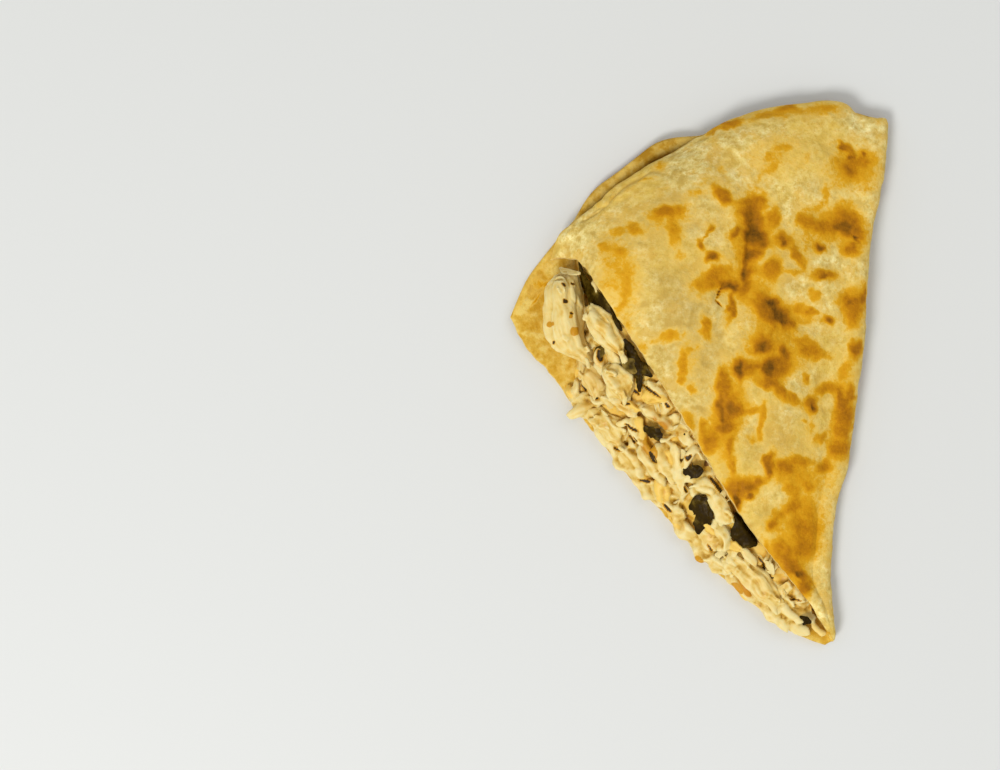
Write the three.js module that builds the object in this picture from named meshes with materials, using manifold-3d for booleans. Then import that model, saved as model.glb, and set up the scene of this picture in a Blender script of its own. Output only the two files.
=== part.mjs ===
// A wedge of chicken quesadilla: a flour tortilla folded over shredded chicken, cheese and spinach.
// Millimetres, Z up. The fold runs along +X, the round rim faces +Y and the point lies at -Y.
import * as THREE from "three";
import { ParametricGeometry } from "three/addons/geometries/ParametricGeometry.js";
import { mergeVertices } from "three/addons/utils/BufferGeometryUtils.js";
import Module from "manifold-3d";

const wasm = await Module();
wasm.setup();

// --- sizes that drive the part ---
const SHEET = 1.9; // thickness of the tortilla
const FOLD_DEPTH = 3.2; // how far the fold curls before it lies flat
const GAP = 0.35; // air left between one food and the next
const LIP_RISE = 1.9; // lift of the lower rim where the sheets part
const CORNER_RISE = 0.9; // lift of the lower sheet's cut corner
const RIM_ROUND = 0.015; // share of the length over which the sheet thins out at the rim
const TIP_ROUND = 0.02; // and at the point
const SMALLEST_EDGE = 0.02; // shorter edges are merged in the finished solids
const SHIFT_X = 0.71; // sets the part's middle on the origin
const SHIFT_Y = -0.06;

// Plan of the sheet, each line from the point to the rim or from the fold to the cut.
const FOLD_LINE = [
  [31.3, -63.9],
  [30.1, -53.8],
  [30.0, -43.1],
  [31.0, -31.9],
  [33.6, -21.7],
  [35.5, -8.6],
  [36.7, -0.3],
  [37.9, 11.6],
  [38.3, 21.2],
  [39.8, 35.4],
  [42.2, 47.3],
  [43.6, 60.9],
];
const LOWER_CUT = [
  [29.6, -64.9],
  [25.3, -63.5],
  [19.1, -60.1],
  [10.0, -52.7],
  [3.6, -47.4],
  [-5.4, -37.8],
  [-10.9, -31.4],
  [-15.7, -26.6],
  [-24.3, -15.8],
  [-31.5, -6.5],
  [-37.0, 1.0],
  [-40.8, 4.8],
  [-44.2, 10.1],
  [-45.8, 13.4],
];
const UPPER_CUT = [
  [29.9, -60.4],
  [26.8, -55.6],
  [22.6, -51.2],
  [16.4, -43.8],
  [10.0, -36.1],
  [4.8, -28.1],
  [-1.2, -18.0],
  [-7.8, -7.3],
  [-12.8, 0.6],
  [-18.8, 9.6],
  [-22.6, 15.6],
  [-25.2, 20.0],
  [-27.7, 24.2],
  [-30.6, 26.9],
  [-33.6, 27.2],
  [-36.4, 27.0],
];
const LOWER_RIM = [
  [43.6, 60.9],
  [36.6, 61.8],
  [34.4, 63.5],
  [23.5, 63.6],
  [13.9, 62.0],
  [4.3, 58.8],
  [-0.4, 57.4],
  [-10.7, 55.2],
  [-16.9, 50.9],
  [-21.7, 47.2],
  [-26.3, 43.0],
  [-29.8, 38.0],
  [-33.9, 33.4],
  [-37.5, 28.7],
  [-41.3, 23.3],
  [-44.2, 17.7],
  [-45.8, 13.4],
];
const UPPER_RIM = [
  [43.6, 60.9],
  [36.1, 62.2],
  [34.4, 64.0],
  [23.0, 64.2],
  [13.5, 62.5],
  [4.0, 59.0],
  [0.6, 57.0],
  [-8.3, 51.9],
  [-15.2, 47.9],
  [-20.9, 44.1],
  [-25.9, 39.5],
  [-29.5, 36.6],
  [-34.0, 33.0],
  [-36.4, 27.0],
];

// Height of the upper face, by how far across it lies: at the fold, at 0.2, 0.5, 0.8 and at the cut.
const ACROSS = [0, 0.2, 0.5, 0.8, 1];
const CROWN = [
  { at: 0, rise: [5.0, 5.1, 5.2, 5.2, 5.1] },
  { at: 0.1, rise: [5.6, 6.2, 7.0, 7.2, 7.0] },
  { at: 0.25, rise: [6.4, 8.0, 10.2, 10.9, 10.4] },
  { at: 0.4, rise: [7.2, 9.7, 13.0, 14.0, 13.4] },
  { at: 0.55, rise: [7.9, 11.2, 15.4, 16.8, 16.0] },
  { at: 0.7, rise: [8.3, 11.9, 16.8, 18.5, 17.8] },
  { at: 0.8, rise: [8.0, 11.6, 16.4, 18.4, 17.6] },
  { at: 0.9, rise: [7.2, 10.3, 14.3, 15.9, 14.4] },
  { at: 0.96, rise: [6.1, 7.9, 10.2, 10.8, 8.0] },
  { at: 1, rise: [4.6, 4.9, 5.6, 6.3, 4.8] },
];

// Dents and swellings of the upper face: middle, half length, half width, turn in degrees, rise.
const SWELLS = [
  { x: 10.6, y: 36.0, long: 8.0, wide: 3.2, turn: 86, rise: -1.3 },
  { x: 8.2, y: 24.6, long: 6.0, wide: 3.0, turn: 66, rise: -1.2 },
  { x: 3.9, y: 16.0, long: 5.5, wide: 3.4, turn: 84, rise: -0.9 },
  { x: 2.0, y: 3.0, long: 12.0, wide: 3.6, turn: 86, rise: -0.7 },
  { x: 20.5, y: 13.5, long: 6.0, wide: 5.0, turn: 140, rise: -0.9 },
  { x: 30.5, y: 33.0, long: 7.0, wide: 5.0, turn: 150, rise: -0.6 },
  { x: -5.0, y: 34.0, long: 11.0, wide: 7.0, turn: 40, rise: 0.9 },
  { x: -14.0, y: 22.0, long: 9.0, wide: 6.0, turn: 120, rise: 0.8 },
  { x: 18.5, y: 28.0, long: 5.5, wide: 5.0, turn: 0, rise: 0.9 },
  { x: 28.0, y: 22.0, long: 6.0, wide: 4.5, turn: 100, rise: 0.8 },
  { x: 20.0, y: -4.0, long: 10.0, wide: 6.5, turn: 100, rise: 0.9 },
  { x: 11.0, y: -14.0, long: 6.0, wide: 3.0, turn: 100, rise: -0.7 },
  { x: -5.5, y: 8.0, long: 7.0, wide: 5.0, turn: 60, rise: 0.6 },
  { x: 26.0, y: -30.0, long: 9.0, wide: 4.0, turn: 95, rise: 0.7 },
  { x: 16.0, y: -31.0, long: 6.0, wide: 4.0, turn: 120, rise: -0.5 },
  { x: 24.0, y: 45.0, long: 7.0, wide: 5.0, turn: 20, rise: 0.7 },
  { x: 8.0, y: 48.0, long: 6.0, wide: 4.0, turn: 160, rise: -0.5 },
  { x: -18.0, y: 36.0, long: 6.0, wide: 4.0, turn: 45, rise: -0.5 },
  { x: 12.0, y: 4.0, long: 6.0, wide: 4.0, turn: 70, rise: 0.6 },
  { x: 29.0, y: 3.0, long: 7.0, wide: 3.6, turn: 95, rise: -0.5 },
];

// --- smooth runs through named points ---
const clamp = (v, low, high) => Math.min(high, Math.max(low, v));
const mix = (a, b, k) => a + (b - a) * k;
function smoothStep(low, high, v) {
  const k = clamp((v - low) / (high - low), 0, 1);
  return k * k * (3 - 2 * k);
}

// Cubic run through values at knots; a flat start keeps the slope level at the first knot.
function runThrough(knots, values, at, flatStart = false) {
  const last = knots.length - 1;
  const t = clamp(at, knots[0], knots[last]);
  let i = 0;
  while (i < last - 1 && t > knots[i + 1]) i++;
  const slope = (k) => {
    if (k === 0) return flatStart ? 0 : (values[1] - values[0]) / (knots[1] - knots[0]);
    if (k === last) return (values[k] - values[k - 1]) / (knots[k] - knots[k - 1]);
    const before = knots[k] - knots[k - 1];
    const after = knots[k + 1] - knots[k];
    const left = (values[k] - values[k - 1]) / before;
    const right = (values[k + 1] - values[k]) / after;
    return (left * after + right * before) / (before + after);
  };
  const h = knots[i + 1] - knots[i];
  const p = (t - knots[i]) / h;
  const p2 = p * p;
  const p3 = p2 * p;
  return (
    (2 * p3 - 3 * p2 + 1) * values[i] +
    (p3 - 2 * p2 + p) * h * slope(i) +
    (3 * p2 - 2 * p3) * values[i + 1] +
    (p3 - p2) * h * slope(i + 1)
  );
}

// A plan line as a function from 0 to 1, by length along it.
function planLine(points) {
  const knots = [0];
  for (let i = 1; i < points.length; i++) {
    const [x0, y0] = points[i - 1];
    const [x1, y1] = points[i];
    knots.push(knots[i - 1] + Math.hypot(x1 - x0, y1 - y0));
  }
  const total = knots[knots.length - 1];
  const even = knots.map((k) => k / total);
  const xs = points.map((p) => p[0]);
  const ys = points.map((p) => p[1]);
  return (at) => [runThrough(even, xs, at), runThrough(even, ys, at)];
}

const foldLine = planLine(FOLD_LINE);
const cutLines = { lower: planLine(LOWER_CUT), upper: planLine(UPPER_CUT) };
const rimLines = { lower: planLine(LOWER_RIM), upper: planLine(UPPER_RIM) };

// A point of one sheet in plan: across from fold to cut, along from the point to the rim.
function sheetPlan(side, across, along) {
  const fold = foldLine(along);
  const cut = cutLines[side](along);
  const rim = rimLines[side](across);
  const foldEnd = foldLine(1);
  const cutEnd = cutLines[side](1);
  return [0, 1].map((i) => {
    const flat = mix(fold[i], cut[i], across);
    const bow = rim[i] - mix(foldEnd[i], cutEnd[i], across);
    return flat + along * bow;
  });
}

// --- the folded sheet ---
function crown(across, along) {
  const rises = ACROSS.map((_, i) =>
    runThrough(
      CROWN.map((row) => row.at),
      CROWN.map((row) => row.rise[i]),
      along,
    ),
  );
  return runThrough(ACROSS, rises, across, true);
}

function swell(x, y) {
  let sum = 0.34 * Math.sin(0.19 * x + 1.3) * Math.cos(0.16 * y - 0.7);
  sum += 0.22 * Math.sin(0.31 * x - 0.27 * y + 2.1);
  sum += 0.16 * Math.cos(0.14 * x + 0.43 * y + 0.4);
  for (const s of SWELLS) {
    const turn = THREE.MathUtils.degToRad(s.turn);
    const dx = x - s.x;
    const dy = y - s.y;
    const p = (dx * Math.cos(turn) + dy * Math.sin(turn)) / s.long;
    const q = (dy * Math.cos(turn) - dx * Math.sin(turn)) / s.wide;
    sum += s.rise * Math.exp(-p * p - q * q);
  }
  return sum;
}

// Share of the sheet's width that the fold's curl takes up.
function curlShare(along) {
  const fold = foldLine(along);
  const cut = cutLines.upper(along);
  const width = Math.hypot(cut[0] - fold[0], cut[1] - fold[1]);
  return Math.min(0.45, FOLD_DEPTH / width);
}

function lowerLift(across, along) {
  const lip = smoothStep(0.3, 0.46, across) * (1 - smoothStep(0.6, 0.78, across));
  const corner = smoothStep(0.86, 1, across);
  const nearRim = Math.pow(smoothStep(0.9, 1, along), 1.5);
  return LIP_RISE * lip * nearRim + CORNER_RISE * corner * smoothStep(0.8, 1, along);
}

// Middle of the sheet: turn -1 is the lower cut edge, 0 the fold and 1 the upper cut edge.
const CURL = 0.16;
function sheetMiddle(turn, along) {
  const share = curlShare(along);
  const foldTop = crown(0, along) - SHEET / 2;
  const radius = (foldTop - SHEET / 2) / 2;
  const side = turn < 0 ? "lower" : "upper";
  const reach = Math.abs(turn);
  if (reach < CURL) {
    const angle = (turn / CURL) * (Math.PI / 2);
    const [x, y] = sheetPlan(side, share * (1 - Math.cos(angle)), along);
    return new THREE.Vector3(x, y, SHEET / 2 + radius * (1 + Math.sin(angle)));
  }
  const across = (reach - CURL) / (1 - CURL);
  const [x, y] = sheetPlan(side, mix(share, 1, across), along);
  if (side === "lower") {
    return new THREE.Vector3(x, y, SHEET / 2 + lowerLift(across, along));
  }
  const settle = smoothStep(0, 0.14, across) * smoothStep(0, 0.12, along);
  const press = 1 - 0.75 * smoothStep(0.9, 1, along);
  const z = crown(across, along) - SHEET / 2 + swell(x, y) * settle * press;
  return new THREE.Vector3(x, y, z);
}

function sheetNormal(turn, along) {
  const e = 1e-3;
  const low = clamp(turn - e, -1, 1);
  const high = clamp(turn + e, -1, 1);
  const near = clamp(along - e, 0, 1);
  const far = clamp(along + e, 0, 1);
  const du = sheetMiddle(high, along).sub(sheetMiddle(low, along));
  const dv = sheetMiddle(turn, far).sub(sheetMiddle(turn, near));
  return dv.cross(du).normalize();
}

// A face of the sheet, drawn in to nothing at the rim and at the point.
function sheetFace(turn, along, face, spare = 0) {
  const rim = clamp((along - 1 + RIM_ROUND) / RIM_ROUND, 0, 1);
  const tip = clamp((TIP_ROUND - along) / TIP_ROUND, 0, 1);
  const round = Math.sqrt(Math.max(0, 1 - rim * rim)) * Math.sqrt(Math.max(0, 1 - tip * tip));
  const half = (SHEET / 2) * round + spare;
  const out = sheetNormal(turn, along).multiplyScalar(half * face);
  return sheetMiddle(turn, along).add(out);
}

// --- closed bodies ---
// Joins the seams of a geometry and drops the faces that closed ends leave without area.
function welded(geometry) {
  geometry.deleteAttribute("normal");
  geometry.deleteAttribute("uv");
  const joined = mergeVertices(geometry, 1e-4);
  const index = joined.index.array;
  const kept = [];
  for (let i = 0; i < index.length; i += 3) {
    const [a, b, c] = [index[i], index[i + 1], index[i + 2]];
    if (a !== b && b !== c && c !== a) kept.push(a, b, c);
  }
  joined.setIndex(kept);
  return joined;
}

function solidFrom(geometry) {
  const joined = welded(geometry);
  const made = (index) =>
    new wasm.Manifold(
      new wasm.Mesh({
        numProp: 3,
        vertProperties: joined.attributes.position.array,
        triVerts: new Uint32Array(index),
      }),
    );
  const solid = made(joined.index.array);
  if (solid.volume() > 0) return solid;
  const turned = Array.from(joined.index.array);
  for (let i = 0; i < turned.length; i += 3) {
    [turned[i + 1], turned[i + 2]] = [turned[i + 2], turned[i + 1]];
  }
  return made(turned);
}

function geometryFrom(solid) {
  const mesh = solid.getMesh();
  const geometry = new THREE.BufferGeometry();
  const positions = new Float32Array(mesh.vertProperties);
  geometry.setAttribute("position", new THREE.BufferAttribute(positions, 3));
  geometry.setIndex(new THREE.BufferAttribute(new Uint32Array(mesh.triVerts), 1));
  geometry.computeVertexNormals();
  return geometry;
}

// A tube whose section is a list of places, swept over a list of rows.
function loft(section, rows, place) {
  const shape = new ParametricGeometry(
    (u, v, target) => {
      const spot = section[Math.round(u * section.length) % section.length];
      const row = rows[Math.round(v * (rows.length - 1))];
      target.copy(place(spot, row));
    },
    section.length,
    rows.length - 1,
  );
  return solidFrom(shape);
}

const ROWS = [0, 0.005, 0.02, 0.05, 0.09, 0.13];
for (let i = 1; i <= 22; i++) ROWS.push(0.13 + (i / 22) * 0.81);
ROWS.push(0.96, 0.975, 0.987, 0.995, 1);
const TURNS = [];
for (let i = 0; i <= 12; i++) TURNS.push(-1 + (1 - CURL) * (i / 12));
for (let i = 1; i < 8; i++) TURNS.push(-CURL + 2 * CURL * (i / 8));
for (let i = 0; i <= 14; i++) TURNS.push(CURL + (1 - CURL) * (i / 14));

function foldedSheet(spare, turns, rows) {
  const section = turns.map((turn) => ({ turn, face: 1 }));
  for (const turn of [...turns].reverse()) section.push({ turn, face: -1 });
  return loft(section, rows, (spot, row) => {
    const end = row === 0 || row === 1;
    return sheetFace(spot.turn, row, spot.face, end ? 0 : spare);
  });
}

const tortilla = foldedSheet(0, TURNS, ROWS);

// --- the heap of filling ---
// Inner faces of the two sheets by height, at a share of the way across.
function innerFloor(across, along) {
  const turn = -(CURL + (1 - CURL) * across);
  return sheetFace(turn, along, -1);
}
function innerRoof(across, along) {
  const turn = CURL + (1 - CURL) * across;
  return sheetFace(turn, along, -1);
}

const HEAP_START = 0.05;
const HEAP_END = 0.955;
const HEAP_HEAD = 0.985; // how far across the upper sheet the heap reaches
const HEAP_FOOT_RISE = 0.5; // height of the open face over the lower sheet
const HEAP_HEAD_DROP = 0.7; // and its depth below the upper one
function heapReach(along) {
  return mix(0.965, 0.8, smoothStep(0.76, 0.9, along));
}

// The open face of the heap, from the lower cut edge (0) to the upper one (1).
function heapFace(share, along) {
  const foot = innerFloor(heapReach(along), along);
  const head = innerRoof(HEAP_HEAD, along);
  const rise = 1 - Math.pow(1 - share, 1.6);
  return new THREE.Vector3(
    mix(foot.x, head.x, share),
    mix(foot.y, head.y, share),
    mix(foot.z + HEAP_FOOT_RISE, head.z - HEAP_HEAD_DROP, rise),
  );
}

// Height of the open face above a plan point.
function faceHeight(x, y) {
  let low = 0.02;
  let high = 0.99;
  const side = (along) => {
    const foot = heapFace(0, along);
    const head = heapFace(1, along);
    return (head.x - foot.x) * (y - foot.y) - (head.y - foot.y) * (x - foot.x);
  };
  const first = Math.sign(side(low));
  for (let i = 0; i < 30; i++) {
    const middle = (low + high) / 2;
    if (Math.sign(side(middle)) === first) low = middle;
    else high = middle;
  }
  const foot = heapFace(0, low);
  const head = heapFace(1, low);
  const dx = head.x - foot.x;
  const dy = head.y - foot.y;
  const share = ((x - foot.x) * dx + (y - foot.y) * dy) / (dx * dx + dy * dy);
  return heapFace(clamp(share, 0, 1), low).z;
}

const CORE_IN = 0.1; // how far from the fold the core starts, as a share of the way across
const CORE_END_ROUND = 0.05;
const CORE_FOOT_RISE = 0.55; // air and shreds between the core and the two sheets
const CORE_HEAD_DROP = 0.75;
const CORE_STEPS = 9;
const coreSection = [];
for (let i = 0; i <= CORE_STEPS; i++) coreSection.push({ part: "floor", k: i / CORE_STEPS });
for (const share of [0.25, 0.5, 0.75]) coreSection.push({ part: "face", k: share });
for (let i = CORE_STEPS; i >= 0; i--) coreSection.push({ part: "roof", k: i / CORE_STEPS });
const coreRows = [];
for (let i = 0; i <= 20; i++) coreRows.push(mix(HEAP_START, HEAP_END, i / 20));

const core = loft(coreSection, coreRows, (spot, row) => {
  const end = Math.min(row - HEAP_START, HEAP_END - row) / CORE_END_ROUND;
  const open = Math.sqrt(clamp(end, 0, 1));
  const reach = heapReach(row);
  const foot = innerFloor(mix(CORE_IN, reach, spot.k), row);
  foot.z += CORE_FOOT_RISE;
  const head = innerRoof(mix(CORE_IN, HEAP_HEAD, spot.k), row);
  head.z -= CORE_HEAD_DROP;
  const middle = foot.clone().lerp(head, 0.5);
  if (spot.part === "floor") return middle.lerp(foot, open);
  if (spot.part === "roof") return middle.lerp(head, open);
  const low = heapFace(0, row);
  const high = heapFace(1, row);
  return low.lerp(high, 0.5).lerp(heapFace(spot.k, row), open);
});

// --- pieces of food ---
let seed = 7;
function chance(low = 0, high = 1) {
  seed = (seed * 16807) % 2147483647;
  return low + (high - low) * (seed / 2147483647);
}

// Turns a shape that lies along X onto the open face of the heap.
function laid(geometry, piece) {
  const { x, y } = piece;
  const lean = piece.lean ?? 0.75;
  const step = 1.5;
  const slopeX = (faceHeight(x + step, y) - faceHeight(x - step, y)) / (2 * step);
  const slopeY = (faceHeight(x, y + step) - faceHeight(x, y - step)) / (2 * step);
  const up = new THREE.Vector3(-slopeX * lean, -slopeY * lean, 1).normalize();
  const turn = THREE.MathUtils.degToRad(piece.turn ?? 0);
  const ahead = new THREE.Vector3(Math.cos(turn), Math.sin(turn), 0);
  ahead.addScaledVector(up, -ahead.dot(up)).normalize();
  const side = up.clone().cross(ahead);
  const z = piece.z ?? faceHeight(x, y) + (piece.lift ?? 0);
  const basis = new THREE.Matrix4().makeBasis(ahead, side, up);
  basis.setPosition(x, y, z);
  return geometry.applyMatrix4(basis);
}

// A torn lump of chicken: long in X, with grooves between its fibres.
function lumpShape(piece, spare = 0) {
  const long = piece.long + 2 * spare;
  const wide = piece.wide + 2 * spare;
  const tall = piece.tall + 2 * spare;
  const [around, along] = piece.sides ?? [9, 7];
  const groove = piece.groove ?? 0.05;
  const bend = piece.bend ?? 0;
  const phase = piece.phase ?? 1;
  const shape = new THREE.SphereGeometry(1, around, along);
  shape.rotateZ(-Math.PI / 2);
  const p = shape.attributes.position;
  for (let i = 0; i < p.count; i++) {
    const x0 = clamp(p.getX(i), -1, 1);
    const ring = Math.hypot(p.getY(i), p.getZ(i));
    const angle = Math.atan2(p.getZ(i), p.getY(i));
    const full = Math.pow(ring, 0.62);
    const fibre = 1 + groove * Math.cos(5 * angle + phase + 0.8 * x0);
    const lump = 1 + 0.13 * Math.sin(3.1 * x0 + phase) + 0.07 * Math.sin(7.3 * x0 + 2 * phase);
    const flatter = Math.abs(Math.cos(angle)) ** 3 + Math.abs(Math.sin(angle)) ** 3;
    const size = ring > 1e-6 ? (full * fibre * lump) / Math.cbrt(flatter) : 0;
    const x = Math.sign(x0) * Math.pow(Math.abs(x0), 0.9);
    p.setXYZ(
      i,
      (x * long) / 2,
      (size * Math.cos(angle) * wide) / 2 + bend * (x * x - 0.3),
      (size * Math.sin(angle) * tall) / 2,
    );
  }
  return solidFrom(laid(shape, piece));
}

// A flat strip torn along the fibres.
function stripShape(piece, spare = 0) {
  const long = piece.long + 2 * spare;
  const wide = piece.wide + 2 * spare;
  const tall = piece.tall + 2 * spare;
  const bend = piece.bend ?? 0;
  const arch = piece.arch ?? 0;
  const phase = piece.phase ?? 1;
  const shape = new THREE.BoxGeometry(1, 1, 1, 4, 1, 1);
  const p = shape.attributes.position;
  for (let i = 0; i < p.count; i++) {
    const x = p.getX(i) * 2;
    const narrow = 1 - 0.35 * x * x + 0.12 * Math.sin(2.7 * x + phase);
    p.setXYZ(
      i,
      (x * long) / 2 + 0.3 * wide * p.getY(i) * Math.sin(phase),
      p.getY(i) * wide * narrow + bend * (x * x - 0.3),
      p.getZ(i) * tall * narrow + arch * (0.5 - x * x),
    );
  }
  return solidFrom(laid(shape, piece));
}

// A thin wavy leaf: both faces use the same grid.
const LEAF_ACROSS = 4;
const LEAF_ALONG = 8;
const LEAF_THICK = 0.6;
function leafShape(piece, spare = 0) {
  const long = piece.long + 2 * spare;
  const half = piece.wide / 2 + spare;
  const thick = LEAF_THICK + 2 * spare;
  const wave = piece.wave ?? 0.45;
  const phase = piece.phase ?? 0;
  const spots = [];
  for (let i = 0; i <= LEAF_ACROSS; i++) spots.push({ q: (2 * i) / LEAF_ACROSS - 1, face: 1 });
  for (let i = LEAF_ACROSS; i >= 0; i--) spots.push({ q: (2 * i) / LEAF_ACROSS - 1, face: -1 });
  const shape = new ParametricGeometry(
    (u, v, target) => {
      const spot = spots[Math.round(u * spots.length) % spots.length];
      const end = v < 1e-6 || v > 1 - 1e-6;
      const open = end ? 0 : Math.pow(Math.sin(Math.PI * v), 0.5);
      const ragged = 1 + 0.18 * Math.sin(9 * v + phase + 2 * spot.q);
      const y = (spot.q * half * ragged + 0.2 * half * Math.sin(4 * v + phase)) * open;
      const fold = Math.sin(5 * v + 2.2 * spot.q + phase) + 0.5 * Math.cos(7 * v - 3 * spot.q);
      target.set((v - 0.5) * long, y, wave * fold * open + (end ? 0 : (spot.face * thick) / 2));
    },
    spots.length,
    LEAF_ALONG,
  );
  return solidFrom(laid(welded(shape), piece));
}

// The largest body of a solid, without the crumbs a cut leaves.
function largest(solid) {
  const parts = solid.decompose();
  parts.sort((a, b) => b.volume() - a.volume());
  return parts[0];
}

// Large pieces that lie loose in the heap, each a body of its own.
const PIECES = [
  {
    name: "chicken_chunk",
    make: lumpShape,
    x: -31.9, y: 12.2, z: 7.0, long: 23.5, wide: 10.2, tall: 9.6, turn: -74,
    bend: 1.9, groove: 0.07, phase: 0.4, lean: 0, sides: [20, 14],
  },
  {
    name: "chicken_slice",
    make: lumpShape,
    x: -23.6, y: 9.6, lift: 1.3, long: 15.4, wide: 5.4, tall: 3.8, turn: -49,
    bend: -0.5, phase: 2.2, lean: 0.5, sides: [12, 9],
  },
  {
    name: "chicken_lump",
    make: lumpShape,
    x: -20.4, y: -1.6, lift: 0.6, long: 10.4, wide: 7.4, tall: 6.2, turn: -62,
    groove: 0.08, phase: 3.6, lean: 0.6, sides: [12, 9],
  },
  {
    name: "chicken_block",
    make: lumpShape,
    x: -26.2, y: -1.6, lift: 0.5, long: 7.2, wide: 5.6, tall: 4.8, turn: -55,
    phase: 5.1, lean: 0.6, sides: [10, 8],
  },
  {
    name: "chicken_slab",
    make: lumpShape,
    x: -22.3, y: -12.0, lift: 0.7, long: 13.0, wide: 6.0, tall: 3.6, turn: -35,
    groove: 0.07, phase: 1.3, lean: 0.7, sides: [12, 9],
  },
  {
    name: "chicken_ridge",
    make: lumpShape,
    x: 12.2, y: -49.4, lift: 0.5, long: 21.0, wide: 6.4, tall: 4.2, turn: -46,
    bend: -0.8, groove: 0.09, phase: 2.9, lean: 0.7, sides: [12, 10],
  },
  {
    name: "spinach_long",
    make: leafShape,
    x: -26.0, y: 19.4, lift: 0.9, long: 14.8, wide: 3.6, turn: -60, phase: 0.5, wave: 0.4,
  },
  {
    name: "spinach_upper",
    make: leafShape,
    x: -17.2, y: 1.6, lift: 1.0, long: 13.0, wide: 4.0, turn: -74, phase: 1.9,
  },
  {
    name: "spinach_middle",
    make: leafShape,
    x: -1.3, y: -32.9, lift: 1.6, long: 9.8, wide: 5.8, turn: -89, phase: 3.3,
  },
  {
    name: "spinach_lower",
    make: leafShape,
    x: 8.6, y: -36.8, lift: 1.3, long: 9.6, wide: 5.4, turn: -62, phase: 4.4,
  },
];

// Shreds that show on the open face, fused with the heap.
const SHREDS = [
  { x: -28.3, y: -8.4, long: 9.3, wide: 3.3, tall: 3.0, turn: 20, lift: 0.9, lean: 0.2 },
  { x: -28.7, y: -5.9, long: 6.0, wide: 2.8, tall: 2.4, turn: 22, lift: 0.9, lean: 0.2 },
  { x: -30.1, y: -3.0, long: 4.6, wide: 1.7, tall: 1.8, turn: -76, lift: 0.8, lean: 0 },
  { x: -11.6, y: -5.4, long: 10.2, wide: 5.0, tall: 2.8, turn: -44, lift: 0.2, lump: true },
  { x: -3.7, y: -19.8, long: 6.5, wide: 1.5, tall: 1.8, turn: 63, lift: 1.1, arch: 0.8 },
  { x: -1.2, y: -19.2, long: 4.7, wide: 1.5, tall: 1.8, turn: -60, lift: 1.0 },
  { x: -6.4, y: -22.7, long: 13.6, wide: 2.5, tall: 2.2, turn: -85, lift: 1.2, bend: 0.3 },
  { x: -0.2, y: -26.5, long: 5.4, wide: 3.6, tall: 3.2, turn: -6, lift: 0.8, lump: true },
  { x: 3.8, y: -31.2, long: 10.0, wide: 3.8, tall: 3.2, turn: -53, lift: 0.6, lump: true },
  { x: 4.1, y: -38.1, long: 8.6, wide: 3.0, tall: 3.0, turn: -68, lift: 0.5 },
  { x: 1.3, y: -39.4, long: 7.0, wide: 3.8, tall: 3.0, turn: -45, lift: 0.4, lump: true },
  { x: -12.1, y: -21.3, long: 11.4, wide: 4.6, tall: 3.2, turn: -56, lift: 0.4, lump: true },
  { x: -9.6, y: -20.3, long: 10.0, wide: 3.4, tall: 2.8, turn: -65, lift: 0.7 },
  { x: -16.8, y: -21.0, long: 10.4, wide: 4.2, tall: 2.8, turn: -58, lift: 0.5, lump: true },
  { x: -10.5, y: -28.4, long: 9.2, wide: 2.9, tall: 2.4, turn: -42, lift: 0.6 },
  { x: -6.6, y: -32.3, long: 7.8, wide: 2.9, tall: 2.4, turn: -18, lift: 0.6 },
  { x: -4.3, y: -37.0, long: 8.2, wide: 3.2, tall: 2.6, turn: -38, lift: 0.7, lump: true },
  { x: -12.7, y: -9.1, long: 7.2, wide: 3.2, tall: 2.6, turn: -32, lift: 0.4 },
  { x: -9.0, y: -11.4, long: 5.2, wide: 2.4, tall: 2.2, turn: -51, lift: 0.5 },
  { x: -18.4, y: -7.8, long: 7.4, wide: 2.8, tall: 2.4, turn: -20, lift: 0.5 },
  { x: -15.9, y: -14.0, long: 8.6, wide: 2.3, tall: 2.0, turn: -59, lift: 0.8, arch: 0.4 },
  { x: -8.6, y: -22.4, long: 9.4, wide: 1.9, tall: 2.2, turn: -75, lift: 0.9 },
  { x: -25.2, y: -5.8, long: 4.4, wide: 2.4, tall: 2.2, turn: -16, lift: 0.3 },
  { x: -8.9, y: -15.2, long: 4.2, wide: 1.5, tall: 1.7, turn: 12, lift: 0.9, arch: 0.5 },
  { x: 4.3, y: -45.2, long: 7.4, wide: 3.8, tall: 2.8, turn: -42, lift: 0.5, lump: true },
  { x: -0.3, y: -41.2, long: 7.4, wide: 2.9, tall: 2.4, turn: -36, lift: 0.5 },
  { x: 19.7, y: -56.4, long: 9.4, wide: 3.4, tall: 2.2, turn: -38, lift: 0.3, lump: true },
  { x: 25.0, y: -57.4, long: 6.4, wide: 2.4, tall: 1.3, turn: -28, lift: 0 },
  { x: 10.2, y: -43.0, long: 7.2, wide: 2.3, tall: 2.2, turn: -49, lift: 0.6 },
  { x: 15.0, y: -54.6, long: 6.8, wide: 3.0, tall: 2.2, turn: -48, lift: 0.3 },
  { x: -21.8, y: 4.6, long: 6.6, wide: 3.2, tall: 2.8, turn: -44, lift: 0.2, lump: true },
  { x: -25.0, y: 3.6, long: 6.0, wide: 2.2, tall: 2.2, turn: -80, lift: 0.2 },
  { x: -13.3, y: -18.3, long: 5.8, wide: 1.7, tall: 1.4, turn: -60, lift: 0.9 },
  { x: -3.2, y: -23.6, long: 5.6, wide: 3.0, tall: 1.6, turn: -28, lift: 0.6, lump: true },
];
const MORE_SHREDS = 26;
for (let i = 0; i < MORE_SHREDS; i++) {
  const along = mix(0.12, 0.76, (i + chance(0.1, 0.9)) / MORE_SHREDS);
  const share = chance(0.02, 0.92);
  const spot = heapFace(share, along);
  SHREDS.push({
    x: spot.x,
    y: spot.y,
    long: chance(3.5, 7),
    wide: chance(1.3, 2.6),
    tall: chance(1.4, 2.2),
    turn: chance(-115, 15),
    lift: chance(0, 0.5),
    phase: chance(0, 6),
    bend: chance(-0.8, 0.8),
  });
}

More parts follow.
